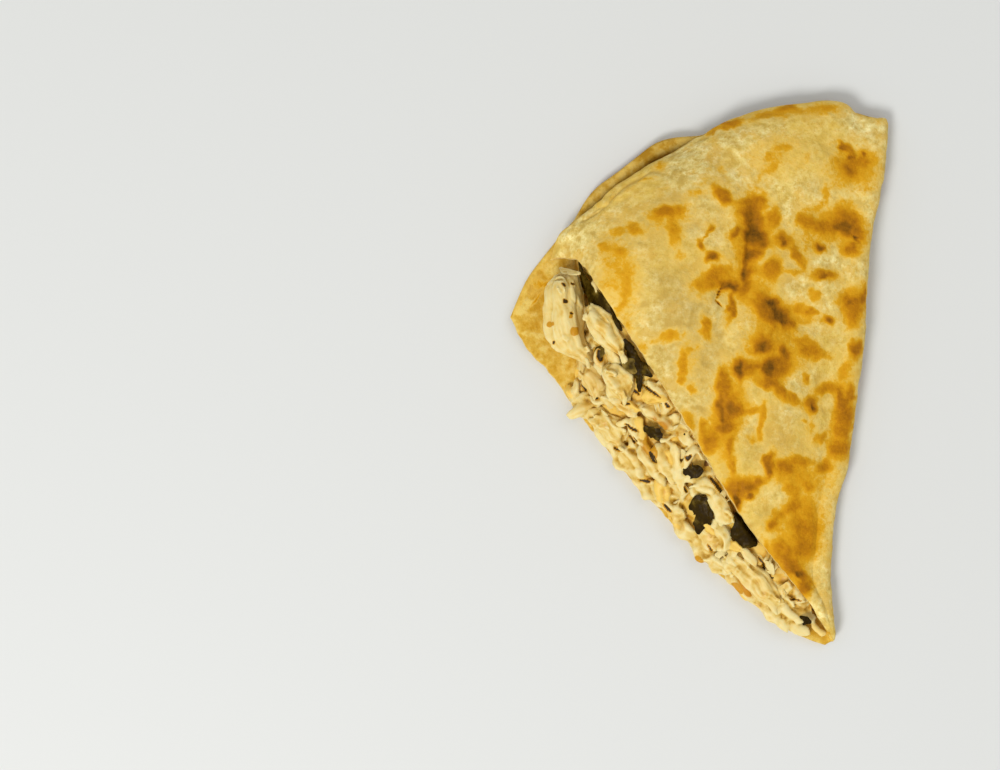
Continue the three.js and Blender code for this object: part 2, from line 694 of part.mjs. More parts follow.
const wall = foldedSheet(GAP, TURNS, ROWS);
const loose = [];
for (const piece of PIECES) {
  let solid = piece.make(piece).subtract(wall);
  for (const other of loose) solid = solid.subtract(other.wide);
  solid = largest(solid);
  loose.push({ name: piece.name, solid, wide: piece.make(piece, GAP) });
}

let heap = core;
for (const shred of SHREDS) {
  heap = heap.add(shred.lump ? lumpShape({ sides: [7, 5], ...shred }) : stripShape(shred));
}
heap = heap.subtract(wall);
for (const other of loose) heap = heap.subtract(other.wide);
heap = largest(heap);

const CHICKEN = 0xead4a0;
const SPINACH = 0x3c3410;
const group = new THREE.Group();
group.name = "quesadilla";
function keep(name, solid, colour, roughness) {
  const geometry = geometryFrom(largest(solid.simplify(SMALLEST_EDGE)).translate([SHIFT_X, SHIFT_Y, 0]));
  const material = new THREE.MeshStandardMaterial({ color: colour, roughness, metalness: 0 });
  const mesh = new THREE.Mesh(geometry, material);
  mesh.name = name;
  group.add(mesh);
}
keep("tortilla", tortilla, 0xe3c784, 0.8);
keep("filling", heap, CHICKEN, 0.6);
for (const { name, solid } of loose) {
  const leaf = name.startsWith("spinach");
  keep(name, solid, leaf ? SPINACH : CHICKEN, leaf ? 0.3 : 0.6);
}

export default group;
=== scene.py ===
# A wedge of chicken quesadilla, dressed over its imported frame.
# Sizes are in millimetres until a mesh is made; +Z is up and the browned face looks up.
import math
import random

import bmesh
import bpy
import numpy as np
from mathutils import Matrix, Vector
from mathutils.kdtree import KDTree


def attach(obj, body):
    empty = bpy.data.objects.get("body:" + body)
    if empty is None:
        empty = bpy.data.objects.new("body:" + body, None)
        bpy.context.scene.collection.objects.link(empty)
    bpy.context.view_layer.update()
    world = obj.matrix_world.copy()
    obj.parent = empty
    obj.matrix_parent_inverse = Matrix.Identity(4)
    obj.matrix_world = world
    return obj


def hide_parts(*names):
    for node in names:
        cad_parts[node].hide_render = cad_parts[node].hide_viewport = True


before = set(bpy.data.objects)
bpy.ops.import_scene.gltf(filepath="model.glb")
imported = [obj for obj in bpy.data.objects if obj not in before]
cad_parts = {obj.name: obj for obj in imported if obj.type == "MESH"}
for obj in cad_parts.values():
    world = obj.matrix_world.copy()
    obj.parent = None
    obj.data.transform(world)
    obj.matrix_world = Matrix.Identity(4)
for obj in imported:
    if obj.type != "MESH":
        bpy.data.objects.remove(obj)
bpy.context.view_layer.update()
mm = 0.001


# small helpers
def srgb(red, green, blue):
    # a screen colour from 0 to 255 as linear light
    def toLinear(value):
        value /= 255
        return value / 12.92 if value <= 0.04045 else ((value + 0.055) / 1.055) ** 2.4

    return (toLinear(red), toLinear(green), toLinear(blue), 1)


def mix(low, high, share):
    return low + (high - low) * share


def smoothStep(low, high, value):
    share = np.clip((value - low) / (high - low), 0, 1)
    return share * share * (3 - 2 * share)


def softNoise(points, cell, seed=0):
    # smooth noise from -1 to 1, with bumps about as wide as the cell
    spots = np.asarray(points, float) / cell + seed * 7.31
    base = np.floor(spots).astype(np.int64)
    part = spots - base
    part = part * part * (3 - 2 * part)
    total = np.zeros(len(spots))
    for corner in range(8):
        step = np.array([corner & 1, (corner >> 1) & 1, (corner >> 2) & 1])
        cellAt = base + step
        code = cellAt[:, 0] * 73856093 ^ cellAt[:, 1] * 19349663 ^ cellAt[:, 2] * 83492791
        code = (code ^ (seed * 668265263)) & 0x7FFFFFFF
        code = ((code ^ (code >> 13)) * 1274126177) & 0x7FFFFFFF
        value = ((code ^ (code >> 15)) & 0xFFFF) / 32767.5 - 1
        total += value * np.prod(np.where(step, part, 1 - part), axis=1)
    return total


def flatPoints(x, y):
    return np.stack([x, y, np.zeros_like(x)], axis=1)


def layered(points, *layers):
    # noise of several sizes, one on the other: how strong, how wide a bump, seed
    return sum(strength * softNoise(points, cell, seed) for strength, cell, seed in layers)


def inScene(name, data):
    thing = bpy.data.objects.new(name, data)
    bpy.context.scene.collection.objects.link(thing)
    return thing


def finishMesh(mesh, values):
    # smooth faces, and named values at the points for the materials to read
    for label, data in values.items():
        data = np.asarray(data, np.float32)
        form, key = ("FLOAT_VECTOR", "vector") if data.ndim == 2 else ("FLOAT", "value")
        mesh.attributes.new(label, form, "POINT").data.foreach_set(key, data.ravel())
    mesh.polygons.foreach_set("use_smooth", [True] * len(mesh.polygons))


def meshFrom(name, points, faces, values=None, sharp=None):
    # points in millimetres; sharp is the angle past which an edge isn't smoothed
    mesh = bpy.data.meshes.new(name)
    mesh.from_pydata((np.asarray(points) * mm).tolist(), [], faces)
    finishMesh(mesh, values or {})
    if sharp:
        mesh.set_sharp_from_angle(angle=math.radians(sharp))
    mesh.update()
    return inScene(name, mesh)


def turnOutwards(piece):
    # faces of a closed mesh look outwards
    work = bmesh.new()
    work.from_mesh(piece.data)
    bmesh.ops.recalc_face_normals(work, faces=work.faces)
    work.to_mesh(piece.data)
    work.free()


# the folded sheet as a surface
sheet = {
    "thick": 1.9,
    "foldDepth": 3.2,
    "curl": 0.16,  # share of the section that turns round the fold
    "lipRise": 1.9,
    "shift": (0.71, -0.06),  # from the drawing's origin to the frame's
    "foldLine": [
        (31.3, -63.9), (30.1, -53.8), (30.0, -43.1), (31.0, -31.9), (33.6, -21.7), (35.5, -8.6),
        (36.7, -0.3), (37.9, 11.6), (38.3, 21.2), (39.8, 35.4), (42.2, 47.3), (43.6, 60.9),
    ],
    "lowerCut": [
        (29.6, -64.9), (25.3, -63.5), (19.1, -60.1), (10.0, -52.7), (3.6, -47.4), (-5.4, -37.8),
        (-10.9, -31.4), (-15.7, -26.6), (-24.3, -15.8), (-31.5, -6.5), (-37.0, 1.0), (-40.8, 4.8),
        (-44.2, 10.1), (-45.8, 13.4),
    ],
    "upperCut": [
        (29.9, -60.4), (26.8, -55.6), (22.6, -51.2), (16.4, -43.8), (10.0, -36.1), (4.8, -28.1),
        (-1.2, -18.0), (-7.8, -7.3), (-12.8, 0.6), (-18.8, 9.6), (-22.6, 15.6), (-25.2, 20.0),
        (-27.7, 24.2), (-30.6, 26.9), (-33.6, 27.2), (-36.4, 27.0),
    ],
    "lowerRim": [
        (43.6, 60.9), (36.6, 61.8), (34.4, 63.5), (23.5, 63.6), (13.9, 62.0), (4.3, 58.8),
        (-0.4, 57.4), (-10.7, 55.2), (-16.9, 50.9), (-21.7, 47.2), (-26.3, 43.0), (-29.8, 38.0),
        (-33.9, 33.4), (-37.5, 28.7), (-41.3, 23.3), (-44.2, 17.7), (-45.8, 13.4),
    ],
    "upperRim": [
        (43.6, 60.9), (36.1, 62.2), (34.4, 64.0), (23.0, 64.2), (13.5, 62.5), (4.0, 59.0),
        (0.6, 57.0), (-8.3, 51.9), (-15.2, 47.9), (-20.9, 44.1), (-25.9, 39.5), (-29.5, 36.6),
        (-34.0, 33.0), (-36.4, 27.0),
    ],
    "acrossKnots": [0, 0.2, 0.5, 0.8, 1],
    "alongKnots": [0, 0.1, 0.25, 0.4, 0.55, 0.7, 0.8, 0.9, 0.96, 1],
    "crown": [  # height of the upper face, a row for each across knot
        (5.0, 5.6, 6.4, 7.2, 7.9, 8.3, 8.0, 7.2, 6.1, 4.6),
        (5.1, 6.2, 8.0, 9.7, 11.2, 11.9, 11.6, 10.3, 7.9, 4.9),
        (5.2, 7.0, 10.2, 13.0, 15.4, 16.8, 16.4, 14.3, 10.2, 5.6),
        (5.2, 7.2, 10.9, 14.0, 16.8, 18.5, 18.4, 15.9, 10.8, 6.3),
        (5.1, 7.0, 10.4, 13.4, 16.0, 17.8, 17.6, 14.4, 8.0, 4.8),
    ],
    "swells": [  # x, y, half length, half width, turn, rise
        (10.6, 36.0, 8.0, 3.2, 86, -1.3), (8.2, 24.6, 6.0, 3.0, 66, -1.2),
        (3.9, 16.0, 5.5, 3.4, 84, -0.9), (2.0, 3.0, 12.0, 3.6, 86, -0.7),
        (20.5, 13.5, 6.0, 5.0, 140, -0.9), (30.5, 33.0, 7.0, 5.0, 150, -0.6),
        (-5.0, 34.0, 11.0, 7.0, 40, 0.9), (-14.0, 22.0, 9.0, 6.0, 120, 0.8),
        (18.5, 28.0, 5.5, 5.0, 0, 0.9), (28.0, 22.0, 6.0, 4.5, 100, 0.8),
        (20.0, -4.0, 10.0, 6.5, 100, 0.9), (11.0, -14.0, 6.0, 3.0, 100, -0.7),
        (-5.5, 8.0, 7.0, 5.0, 60, 0.6), (26.0, -30.0, 9.0, 4.0, 95, 0.7),
        (16.0, -31.0, 6.0, 4.0, 120, -0.5), (24.0, 45.0, 7.0, 5.0, 20, 0.7),
        (8.0, 48.0, 6.0, 4.0, 160, -0.5), (-18.0, 36.0, 6.0, 4.0, 45, -0.5),
        (12.0, 4.0, 6.0, 4.0, 70, 0.6), (29.0, 3.0, 7.0, 3.6, 95, -0.5),
    ],
}


def runThrough(knots, values, at, flatStart=False):
    # cubic run through values at knots; values may be one row for each knot
    knots = np.asarray(knots, float)
    values = np.asarray(values, float)
    gaps = np.diff(knots)
    shape = (-1,) + (1,) * (values.ndim - 1)
    steps = np.diff(values, axis=0) / gaps.reshape(shape)
    slopes = np.empty_like(values)
    slopes[0] = 0 if flatStart else steps[0]
    slopes[-1] = steps[-1]
    before = gaps[:-1].reshape(shape)
    after = gaps[1:].reshape(shape)
    slopes[1:-1] = (steps[:-1] * after + steps[1:] * before) / (before + after)
    at = np.clip(np.asarray(at, float), knots[0], knots[-1])
    i = np.clip(np.searchsorted(knots, at, "left") - 1, 0, len(gaps) - 1)
    h = gaps[i]
    p = (at - knots[i]) / h
    pick = (i, np.arange(len(at))) if values.ndim == 2 else i
    nextPick = (i + 1, np.arange(len(at))) if values.ndim == 2 else i + 1
    p2 = p * p
    p3 = p2 * p
    return (
        (2 * p3 - 3 * p2 + 1) * values[pick]
        + (p3 - 2 * p2 + p) * h * slopes[pick]
        + (3 * p2 - 2 * p3) * values[nextPick]
        + (p3 - p2) * h * slopes[nextPick]
    )


def planLine(points, at):
    # a plan line by length along it
    points = np.array(points)
    lengths = np.hypot(*np.diff(points, axis=0).T)
    knots = np.concatenate([[0], np.cumsum(lengths)]) / lengths.sum()
    return runThrough(knots, points[:, 0], at), runThrough(knots, points[:, 1], at)


def sheetPlan(side, across, along):
    fold = planLine(sheet["foldLine"], along)
    cut = planLine(sheet[side + "Cut"], along)
    rim = planLine(sheet[side + "Rim"], across)
    foldEnd = sheet["foldLine"][-1]
    cutEnd = sheet[side + "Cut"][-1]
    return [
        mix(fold[i], cut[i], across) + along * (rim[i] - mix(foldEnd[i], cutEnd[i], across))
        for i in (0, 1)
    ]


def crown(across, along):
    rises = np.stack([runThrough(sheet["alongKnots"], row, along) for row in sheet["crown"]])
    return runThrough(sheet["acrossKnots"], rises, across, True)


def marksAt(x, y, marks):
    # a soft bump at each mark: x, y, half length, half width, turn, depth
    for mx, my, long, wide, turn, depth in marks:
        angle = math.radians(turn)
        dx = x - mx
        dy = y - my
        p = (dx * math.cos(angle) + dy * math.sin(angle)) / long
        q = (dy * math.cos(angle) - dx * math.sin(angle)) / wide
        yield depth, p * p + q * q


def swell(x, y):
    # long waves of the upper face, then its dips and rises
    total = 0.34 * np.sin(0.19 * x + 1.3) * np.cos(0.16 * y - 0.7)
    total += 0.22 * np.sin(0.31 * x - 0.27 * y + 2.1)
    total += 0.16 * np.cos(0.14 * x + 0.43 * y + 0.4)
    for rise, reach in marksAt(x, y, sheet["swells"]):
        total += rise * np.exp(-reach)
    return total


def lowerLift(across, along):
    lip = smoothStep(0.3, 0.46, across) * (1 - smoothStep(0.6, 0.78, across))
    nearRim = smoothStep(0.9, 1, along) ** 1.5
    corner = smoothStep(0.86, 1, across) * smoothStep(0.8, 1, along)
    return sheet["lipRise"] * lip * nearRim + 0.9 * corner


def sheetMiddle(turn, along):
    # turn runs from -1 at the lower cut edge, round the fold at 0, to 1 at the upper cut edge
    turn, along = np.broadcast_arrays(np.asarray(turn, float), np.asarray(along, float))
    half = sheet["thick"] / 2
    curl = sheet["curl"]
    fold = planLine(sheet["foldLine"], along)
    cut = planLine(sheet["upperCut"], along)
    width = np.hypot(cut[0] - fold[0], cut[1] - fold[1])
    share = np.minimum(0.45, sheet["foldDepth"] / width)
    reach = np.abs(turn)
    angle = np.clip(turn / curl, -1, 1) * math.pi / 2
    across = np.clip((reach - curl) / (1 - curl), 0, 1)
    inCurl = reach < curl
    planAcross = np.where(inCurl, share * (1 - np.cos(angle)), mix(share, 1, across))
    lower = sheetPlan("lower", planAcross, along)
    upper = sheetPlan("upper", planAcross, along)
    under = turn < 0
    x = np.where(under, lower[0], upper[0])
    y = np.where(under, lower[1], upper[1])
    radius = (crown(np.zeros_like(along), along) - 2 * half) / 2
    foldZ = half + radius * (1 + np.sin(angle))
    lowerZ = half + lowerLift(across, along)
    settle = smoothStep(0, 0.14, across) * smoothStep(0, 0.12, along)
    press = 1 - 0.75 * smoothStep(0.9, 1, along)
    upperZ = crown(across, along) - half + swell(x, y) * settle * press
    z = np.where(inCurl, foldZ, np.where(under, lowerZ, upperZ))
    return np.stack([x, y, z], axis=1)


def sheetFace(turn, along, face):
    # a place on the sheet: face 1 is its outside and -1 its inside
    turn, along = np.broadcast_arrays(np.asarray(turn, float), np.asarray(along, float))
    face = np.broadcast_to(np.asarray(face, float), turn.shape)
    e = 1e-3
    du = sheetMiddle(np.minimum(turn + e, 1), along) - sheetMiddle(np.maximum(turn - e, -1), along)
    dv = sheetMiddle(turn, np.minimum(along + e, 1)) - sheetMiddle(turn, np.maximum(along - e, 0))
    normal = np.cross(dv, du)
    normal /= np.linalg.norm(normal, axis=1, keepdims=True)
    rim = np.clip((along - 0.985) / 0.015, 0, 1)
    tip = np.clip((0.02 - along) / 0.02, 0, 1)
    rounded = np.sqrt(np.maximum(0.004, 1 - rim**2)) * np.sqrt(np.maximum(0.004, 1 - tip**2))
    place = sheetMiddle(turn, along) + normal * (face * rounded * sheet["thick"] / 2)[:, None]
    side = du / np.linalg.norm(du, axis=1, keepdims=True)
    return place, normal, side


def moved(points):
    return points + np.array([sheet["shift"][0], sheet["shift"][1], 0])


# the tortilla
tortilla = {
    "rows": 250,
    "upperColumns": 186,
    "lowerColumns": 34,
    "foldColumns": 14,
    "innerUpperColumns": 22,
    "innerLowerColumns": 66,
    "innerFoldColumns": 6,
    "edgeSteps": [0.55, -0.1, -0.7],  # from the outer face (1) to the inner one (-1)
    "pointRows": [0, 0.003, 0.008, 0.014],  # closer rows at the two ends
    "bodyRows": (0.02, 0.982),
    "rimRows": [0.986, 0.99, 0.994, 0.997, 0.999, 1],
    "toastRaise": 0.22,  # how far a toasted blister stands up
    "relief": [(0.24, 6.5, 21), (0.17, 3.1, 22), (0.12, 1.6, 23), (0.07, 0.9, 24)],  # layers of noise
    "flaky": [(0.3, 1.6, 25), (0.2, 0.7, 26)],  # the same, for the round rim
    "edgeRagged": 0.28,
    "edgeSwell": 0.18,  # how far a cut edge bulges between its two skins
    "sharpFrom": 50,
    "underside": {"seed": 11, "count": 90, "x": (-42, 42), "y": (-62, 62), "long": (1.2, 5)},
    "lipToast": [  # faint marks on the inner side of the lower sheet
        (-37.7, 21.3, 0.9, 0.7, 0, 0.75), (-38.9, 17.4, 1.5, 0.3, 60, 0.7),
        (-39.6, 21.6, 2.6, 0.9, 75, 0.35), (-36.2, 27.6, 2.6, 1.5, 40, 0.32),
        (-33.0, 1.0, 1.6, 0.8, -50, 0.3), (-35.6, 5.2, 1.2, 0.7, 10, 0.28),
        (-41.0, 13.4, 1.4, 0.8, 30, 0.26), (-31.4, -3.6, 1.0, 0.8, 0, 0.42),
    ],
    "toast": [  # browned patches: x, y, half length, half width, turn, depth of browning
        # along the rim
        (7.5, 59, 2.8, 0.9, 12, 0.80), (3, 58, 2.1, 0.6, 25, 0.55), (15.5, 61, 3.3, 0.9, 15, 0.55),
        (20.5, 63, 2.6, 0.8, 3, 0.75), (30, 63, 2.4, 0.8, 0, 0.60), (23, 62, 10.6, 1.4, 3, 0.35),
        (-13.5, 45.5, 2.4, 0.6, 5, 0.45), (43, 60, 0.9, 0.7, 0, 0.45),
        # upper left
        (-9, 49, 1.2, 1.2, 0, 0.45), (-9, 37, 2.6, 1.4, 0, 0.85), (-5.5, 38, 1.7, 1.2, 60, 0.65),
        (-7.5, 32.5, 3.1, 1.4, 90, 0.62), (-16, 33.5, 1.7, 1.2, -10, 0.65), (-20, 33, 2.8, 0.8, 15, 0.50),
        (-23, 29.5, 1.2, 0.9, 0, 0.60), (-20, 28.5, 1.4, 1.2, 0, 0.60), (-6.5, 27, 1.4, 1.4, 0, 0.45),
        (-21.5, 26, 7.6, 4.2, 80, 0.26), (-19, 20, 3.8, 1.4, 85, 0.50), (-23, 21, 1.9, 1.4, 0, 0.38),
        (-19.5, 16, 1.9, 0.9, 60, 0.50), (-18, 11.5, 1.4, 0.9, 70, 0.40), (-2, 41.5, 2.1, 0.9, 10, 0.45),
        (0, 44.5, 1.9, 0.9, 30, 0.42), (3.5, 47.5, 1.4, 0.9, -60, 0.42),
        # small burnt spots
        (1.5, 33.5, 1.2, 0.7, 40, 0.90), (0, 31.5, 1.4, 0.3, 55, 0.70), (-1, 29.5, 1.1, 0.7, -50, 0.90),
        (1.5, 27, 1.1, 0.9, 0, 1.10), (27.5, 29.5, 1.2, 0.8, 0, 1.05), (27.5, 29.5, 1.9, 1.4, 0, 0.60),
        (29.5, 12.5, 0.9, 0.9, 0, 1.05), (29.5, 12.5, 1.7, 1.7, 0, 0.50), (38, 52, 0.6, 0.6, 0, 1.05),
        (18.5, 30.5, 0.6, 0.6, 0, 1.10),
        # upper right
        (19, 53, 2.1, 0.9, 0, 0.50), (15.5, 51, 1.4, 0.9, 60, 0.50), (17, 48, 1.4, 0.8, 30, 0.50),
        (14, 46, 2.4, 0.7, 55, 0.45), (24, 51, 1.4, 0.9, 90, 0.40), (36, 50, 4.2, 2.8, 10, 0.60),
        (35.5, 47.5, 1.9, 1.4, 0, 0.75), (37, 50, 2.8, 1.4, 0, 0.70), (35, 48.5, 1.2, 0.7, 0, 0.85),
        (33.5, 53.5, 1.9, 0.7, -20, 0.90), (35, 51.5, 0.9, 0.5, 50, 1.05), (32.5, 53, 0.7, 0.5, 0, 1.05),
        (33, 45, 4.2, 1.4, 20, 0.45), (28.5, 42.5, 2.1, 0.7, 90, 0.55), (40.5, 43.5, 1.4, 1.2, 0, 0.42),
        (26.5, 39, 2.8, 1.2, 25, 0.50),
        # beside the fold, upper part
        (24, 35.5, 2.4, 1.4, -40, 0.78), (28.5, 34.5, 3.5, 1.7, 0, 0.78), (34, 36, 3.5, 2.1, -15, 0.90),
        (33.5, 34.5, 1.9, 1.7, 0, 1.05), (37, 33, 2.1, 1.2, -50, 0.88), (36.5, 31.5, 1.2, 0.3, -40, 1.30),
        (35, 29.5, 2.1, 1.7, 20, 0.90), (34, 39.5, 3.3, 1.2, 0, 0.45), (16.5, 36, 2.4, 1.4, 70, 0.78),
        (18.5, 31, 2.1, 1.4, 0, 0.75), (21.5, 28, 1.9, 0.9, -60, 0.82), (23, 25.5, 1.9, 0.9, -50, 0.70),
        (28.5, 23, 2.6, 1.4, -5, 0.78), (28, 22.5, 0.9, 0.7, 0, 1.00), (16, 24, 2.8, 1.7, 85, 0.78),
        (20.5, 23.5, 2.4, 0.7, 0, 0.55),
        # the long crease
        (4.5, 41.5, 2.6, 1.4, -30, 0.88), (7, 32.5, 1.4, 0.9, 50, 0.98), (11, 35.5, 3.8, 2.1, 90, 1.05),
        (11, 32, 2.1, 1.9, 0, 1.05), (9.6, 25.8, 4.8, 0.8, 82, 0.92), (13, 31, 2.4, 1.4, 80, 0.95),
        (11, 27.5, 1.7, 1.4, 0, 0.98), (11.5, 40, 3.1, 0.9, 5, 0.85), (10, 23.5, 1.9, 1.2, 0, 0.98),
        (13.5, 37, 4.2, 0.9, 88, 0.70), (9, 20.5, 2.8, 1.4, 80, 0.82), (4, 21, 3.6, 1.6, 8, 0.72),
        (5.8, 20.2, 1.9, 1.0, -15, 1.12), (2.5, 23, 2.8, 1.4, 30, 0.76), (-0.5, 20.5, 1.9, 0.9, -15, 0.60),
        (5.9, 15.6, 3.3, 0.7, 88, 0.92), (0.5, 10.5, 2.4, 1.1, 95, 0.75),
        # middle
        (-8.5, 8.5, 1.9, 1.2, 10, 0.60), (-11.5, 7.5, 1.9, 0.9, 0, 0.40), (-5, 9.5, 0.9, 0.7, 0, 0.42),
        (-15, 5.5, 1.4, 1.7, 0, 0.50), (-3.5, 5, 1.9, 0.7, 15, 0.55), (-5.5, 2, 3.3, 0.9, 92, 0.62),
        (-5.5, -2, 0.9, 0.7, 0, 0.68), (-2.5, -4, 1.4, 0.9, 110, 0.55), (4, -2.5, 3.1, 1.2, 88, 0.88),
        (5.5, -8.5, 5.2, 2.8, 70, 0.82), (3.5, -9, 3.3, 0.9, 85, 0.98), (7, -8, 1.9, 1.4, 0, 0.98),
        (4.5, -12.5, 2.8, 1.2, 15, 0.90), (9, 1, 2.6, 1.9, 20, 0.90), (8, 1, 0.9, 1.9, 0, 1.15),
        (11.5, 2, 2.8, 0.8, 20, 0.75), (-4, -11.5, 2.1, 1.2, -60, 0.60), (-0.5, -13.5, 2.8, 0.9, 80, 0.65),
        (1, -16, 2.4, 1.7, 80, 0.82), (6, -17, 2.1, 1.2, 85, 0.78), (9.5, -9, 3.8, 0.9, 10, 0.70),
        (11.5, -15, 1.9, 0.9, 0, 0.50),
        # right of the middle
        (15, 15, 4.7, 2.6, -35, 0.92), (18, 13.5, 3.1, 1.2, -50, 1.12), (15.5, 16.5, 1.4, 1.2, 0, 1.00),
        (21, 11.5, 1.4, 0.7, -40, 0.90), (22, 15.5, 1.9, 1.2, 0, 0.65), (25.5, 14.5, 1.7, 0.9, 0, 0.80),
        (23.5, 13, 3.3, 1.7, 0, 0.50), (26, 18.5, 1.4, 1.4, 0, 0.60), (13.5, 6.5, 2.4, 2.1, 0, 0.88),
        (14, 6, 1.4, 1.2, 0, 1.05), (15.5, 10, 2.4, 0.9, 60, 0.65), (18.5, 5, 1.7, 1.2, -60, 1.00),
        (16.5, 1.5, 3.8, 2.4, 20, 0.95), (15, 1.5, 1.4, 1.4, 0, 1.08), (15, -2, 1.9, 1.2, 0, 0.90),
        (17.5, -4.5, 2.1, 1.2, -60, 0.85), (20.5, -6, 2.1, 1.2, -40, 0.70), (13.5, -11, 4.0, 0.9, 85, 0.65),
        (22.5, 7.5, 1.9, 0.9, 0, 0.60), (25, 5.5, 2.6, 1.7, -20, 0.80), (29, 4, 2.4, 0.7, -15, 0.50),
        # beside the fold, lower part
        (35.5, 15.5, 3.5, 2.6, -60, 0.85), (35, 17, 1.2, 0.9, 0, 0.98), (38, 18, 1.9, 0.7, 85, 0.98),
        (36.5, 5.5, 1.9, 1.2, 80, 1.00), (38, 21, 1.4, 0.9, 80, 0.50), (34, 1, 2.4, 1.2, 60, 0.60),
        (24, -1.5, 1.4, 0.7, -60, 0.70), (25.5, -7.5, 2.1, 1.7, 20, 0.85), (26, -8, 0.7, 0.7, 0, 1.10),
        (29.5, -3.5, 2.4, 1.4, 20, 0.75), (33, -6, 3.8, 1.4, 100, 0.85), (33.5, -11, 4.7, 1.9, 85, 0.85),
        (35.5, -5, 2.4, 0.7, 80, 0.85), (32.5, -17.5, 2.1, 1.9, 0, 0.85), (28, -15.5, 2.1, 1.2, 30, 0.65),
        (25, -13, 1.9, 1.9, 0, 0.40), (23.5, -11, 0.9, 0.5, 0, 0.55),
        # towards the point
        (6.5, -22, 2.8, 0.9, -70, 0.70), (9, -26.5, 3.5, 2.1, 0, 0.88), (8, -29.5, 1.9, 0.7, 80, 1.15),
        (10.5, -29, 0.9, 0.7, 0, 1.05), (12, -26, 2.4, 1.2, 30, 0.85), (15.5, -21.5, 2.4, 1.1, 75, 1.00),
        (19, -22, 1.9, 1.4, 0, 0.85), (22.5, -20.5, 3.1, 1.2, 0, 0.75), (29, -22, 1.7, 1.4, 0, 0.85),
        (24.5, -26.5, 1.9, 1.2, -20, 0.70), (21, -27.5, 2.1, 1.2, -60, 0.65), (21.5, -24, 4.7, 2.6, 0, 0.50),
        (21.5, -31, 1.9, 1.7, 0, 0.75), (18.5, -33, 3.3, 1.2, 30, 0.65), (16.5, -35.5, 1.2, 1.2, 0, 0.88),
        (16.5, -35.5, 2.1, 1.9, 0, 0.50), (23.5, -37, 8.5, 4.7, 80, 0.50), (25, -37, 3.8, 2.8, 0, 0.72),
        (24.5, -41.5, 2.8, 2.4, 0, 0.80), (19, -41.5, 2.1, 1.7, 0, 0.75), (21, -45, 3.8, 1.7, -45, 0.92),
        (23, -47.5, 1.7, 0.9, -45, 1.10), (24.5, -50.5, 2.1, 1.7, 0, 0.90), (26, -32.5, 2.8, 2.8, 0, 0.50),
        (15, -41, 1.9, 0.8, -65, 0.50),
    ],
    "veils": [  # wide golden areas round the marks
        (23.1, -39, 14, 5, 80, 0.42), (5, -15, 12, 4, 102, 0.38), (33.5, -11, 12, 3.4, 82, 0.42),
        (11.1, 30, 11, 4.4, 85, 0.56), (16.5, 5.4, 9, 5.5, -45, 0.42), (36.2, 48, 6.5, 5.5, 0, 0.42),
        (31, 34, 8.5, 4.5, -10, 0.42), (-19.6, 24, 9, 4.5, 95, 0.36), (17, 13.5, 7, 4.5, -40, 0.42),
        (22, -24, 10, 4, -10, 0.4), (-8, 36, 6, 3, 20, 0.33), (23, 62, 14, 2, 3, 0.36),
        (36, 16, 6, 3, 80, 0.38), (26, 6, 6, 3, -20, 0.36), (9, -27, 7, 3.5, 10, 0.4),
        (17, 50, 6, 4, 40, 0.34), (24, 29, 5, 4, 0, 0.34), (3, 21, 7, 3.4, 10, 0.38),
        (-18, 12, 6, 3, 80, 0.3), (-4, 4, 6, 3, 90, 0.3), (19, -46, 9, 3, -48, 0.42),
    ],
    "islands": [  # pale dough left between them
        (19, 41, 4, 4.3, 0, 1), (31.7, 25.5, 7.6, 4.2, 0, 1), (21.9, 19.4, 4, 2.2, 0, 1),
        (14, 27, 2, 1.9, 0, 1), (28.4, 14.8, 2.7, 2.7, 0, 1), (30, 8.2, 4.8, 2.4, 0, 1),
        (28.9, 0.6, 3.1, 3.1, 0, 1), (22.6, -2.7, 2.6, 2.7, 0, 1), (28.7, -10.4, 1.9, 2.3, 0, 1),
        (13.8, -4.3, 3.1, 2.1, 0, 1), (20.1, -12.5, 4.1, 5.6, 0, 1), (11, -19.5, 3.7, 5.2, 0, 1),
        (16.6, -27.6, 2.8, 2.9, 0, 1), (1.1, -7.6, 2, 3.1, 0, 1),
    ],
    "greyed": [  # where the dough is thin and grey: x, y, half length, half width, turn, share
        (-4, 9, 20, 9.5, 105, 0.95), (-10, 33, 15, 9, 35, 0.6), (18, -14, 14, 9, 95, 0.5),
        (14, 22, 14, 8, 90, 0.4), (-7, 40, 9.5, 2.6, 20, 0.8), (11.5, 36.5, 4.5, 3.5, 70, 0.9),
        (16, 28, 3.2, 2.4, 90, 0.7), (9, 6.5, 4.0, 3.0, 80, 0.9), (16.5, -34, 5.0, 3.6, 20, 0.8),
        (0.5, -8, 3.4, 2.6, 60, 0.6), (-15, 17, 6.0, 1.6, 75, 0.5), (27, 44, 5.0, 2.4, 10, 0.5),
        (11, -20, 4.0, 3.0, 75, 0.5), (-24, 30, 5.5, 1.8, 45, 0.5), (6, -20, 2.8, 1.6, 80, 0.5),
        (24, 8, 3.5, 2.0, 30, 0.4),
    ],
    "notches": [  # nicks in the round rim
        (-22.6, 40.2, 1.3, 1.3, 0, 1.5), (0.5, 56.5, 1.0, 1.0, 0, 0.7), (-31, 36, 1.2, 1.2, 0, 0.5),
    ],
    "cracks": [  # burst skin, nearly black
        (3.6, 19.0, 2.4, 0.28, 62, 0.9), (3.2, 16.2, 1.0, 0.22, -43, 0.9), (36.2, 32.2, 1.5, 0.25, -45, 0.9),
    ],
    "creases": [  # x, y, half length, half width, turn, depth of the groove
        (14.5, 49.5, 3.6, 0.22, 51, 0.30), (10.4, 28.5, 8.0, 1.1, 82, 0.40),
        (36.2, 32.2, 1.6, 0.25, -45, 0.5), (8.4, -29.0, 2.6, 0.35, 80, 0.45),
        (3.6, 19.0, 2.6, 0.3, 62, 0.55), (18.0, -27.6, 1.6, 0.2, 5, 0.2), (3.2, 16.2, 1.2, 0.25, -43, 0.5),
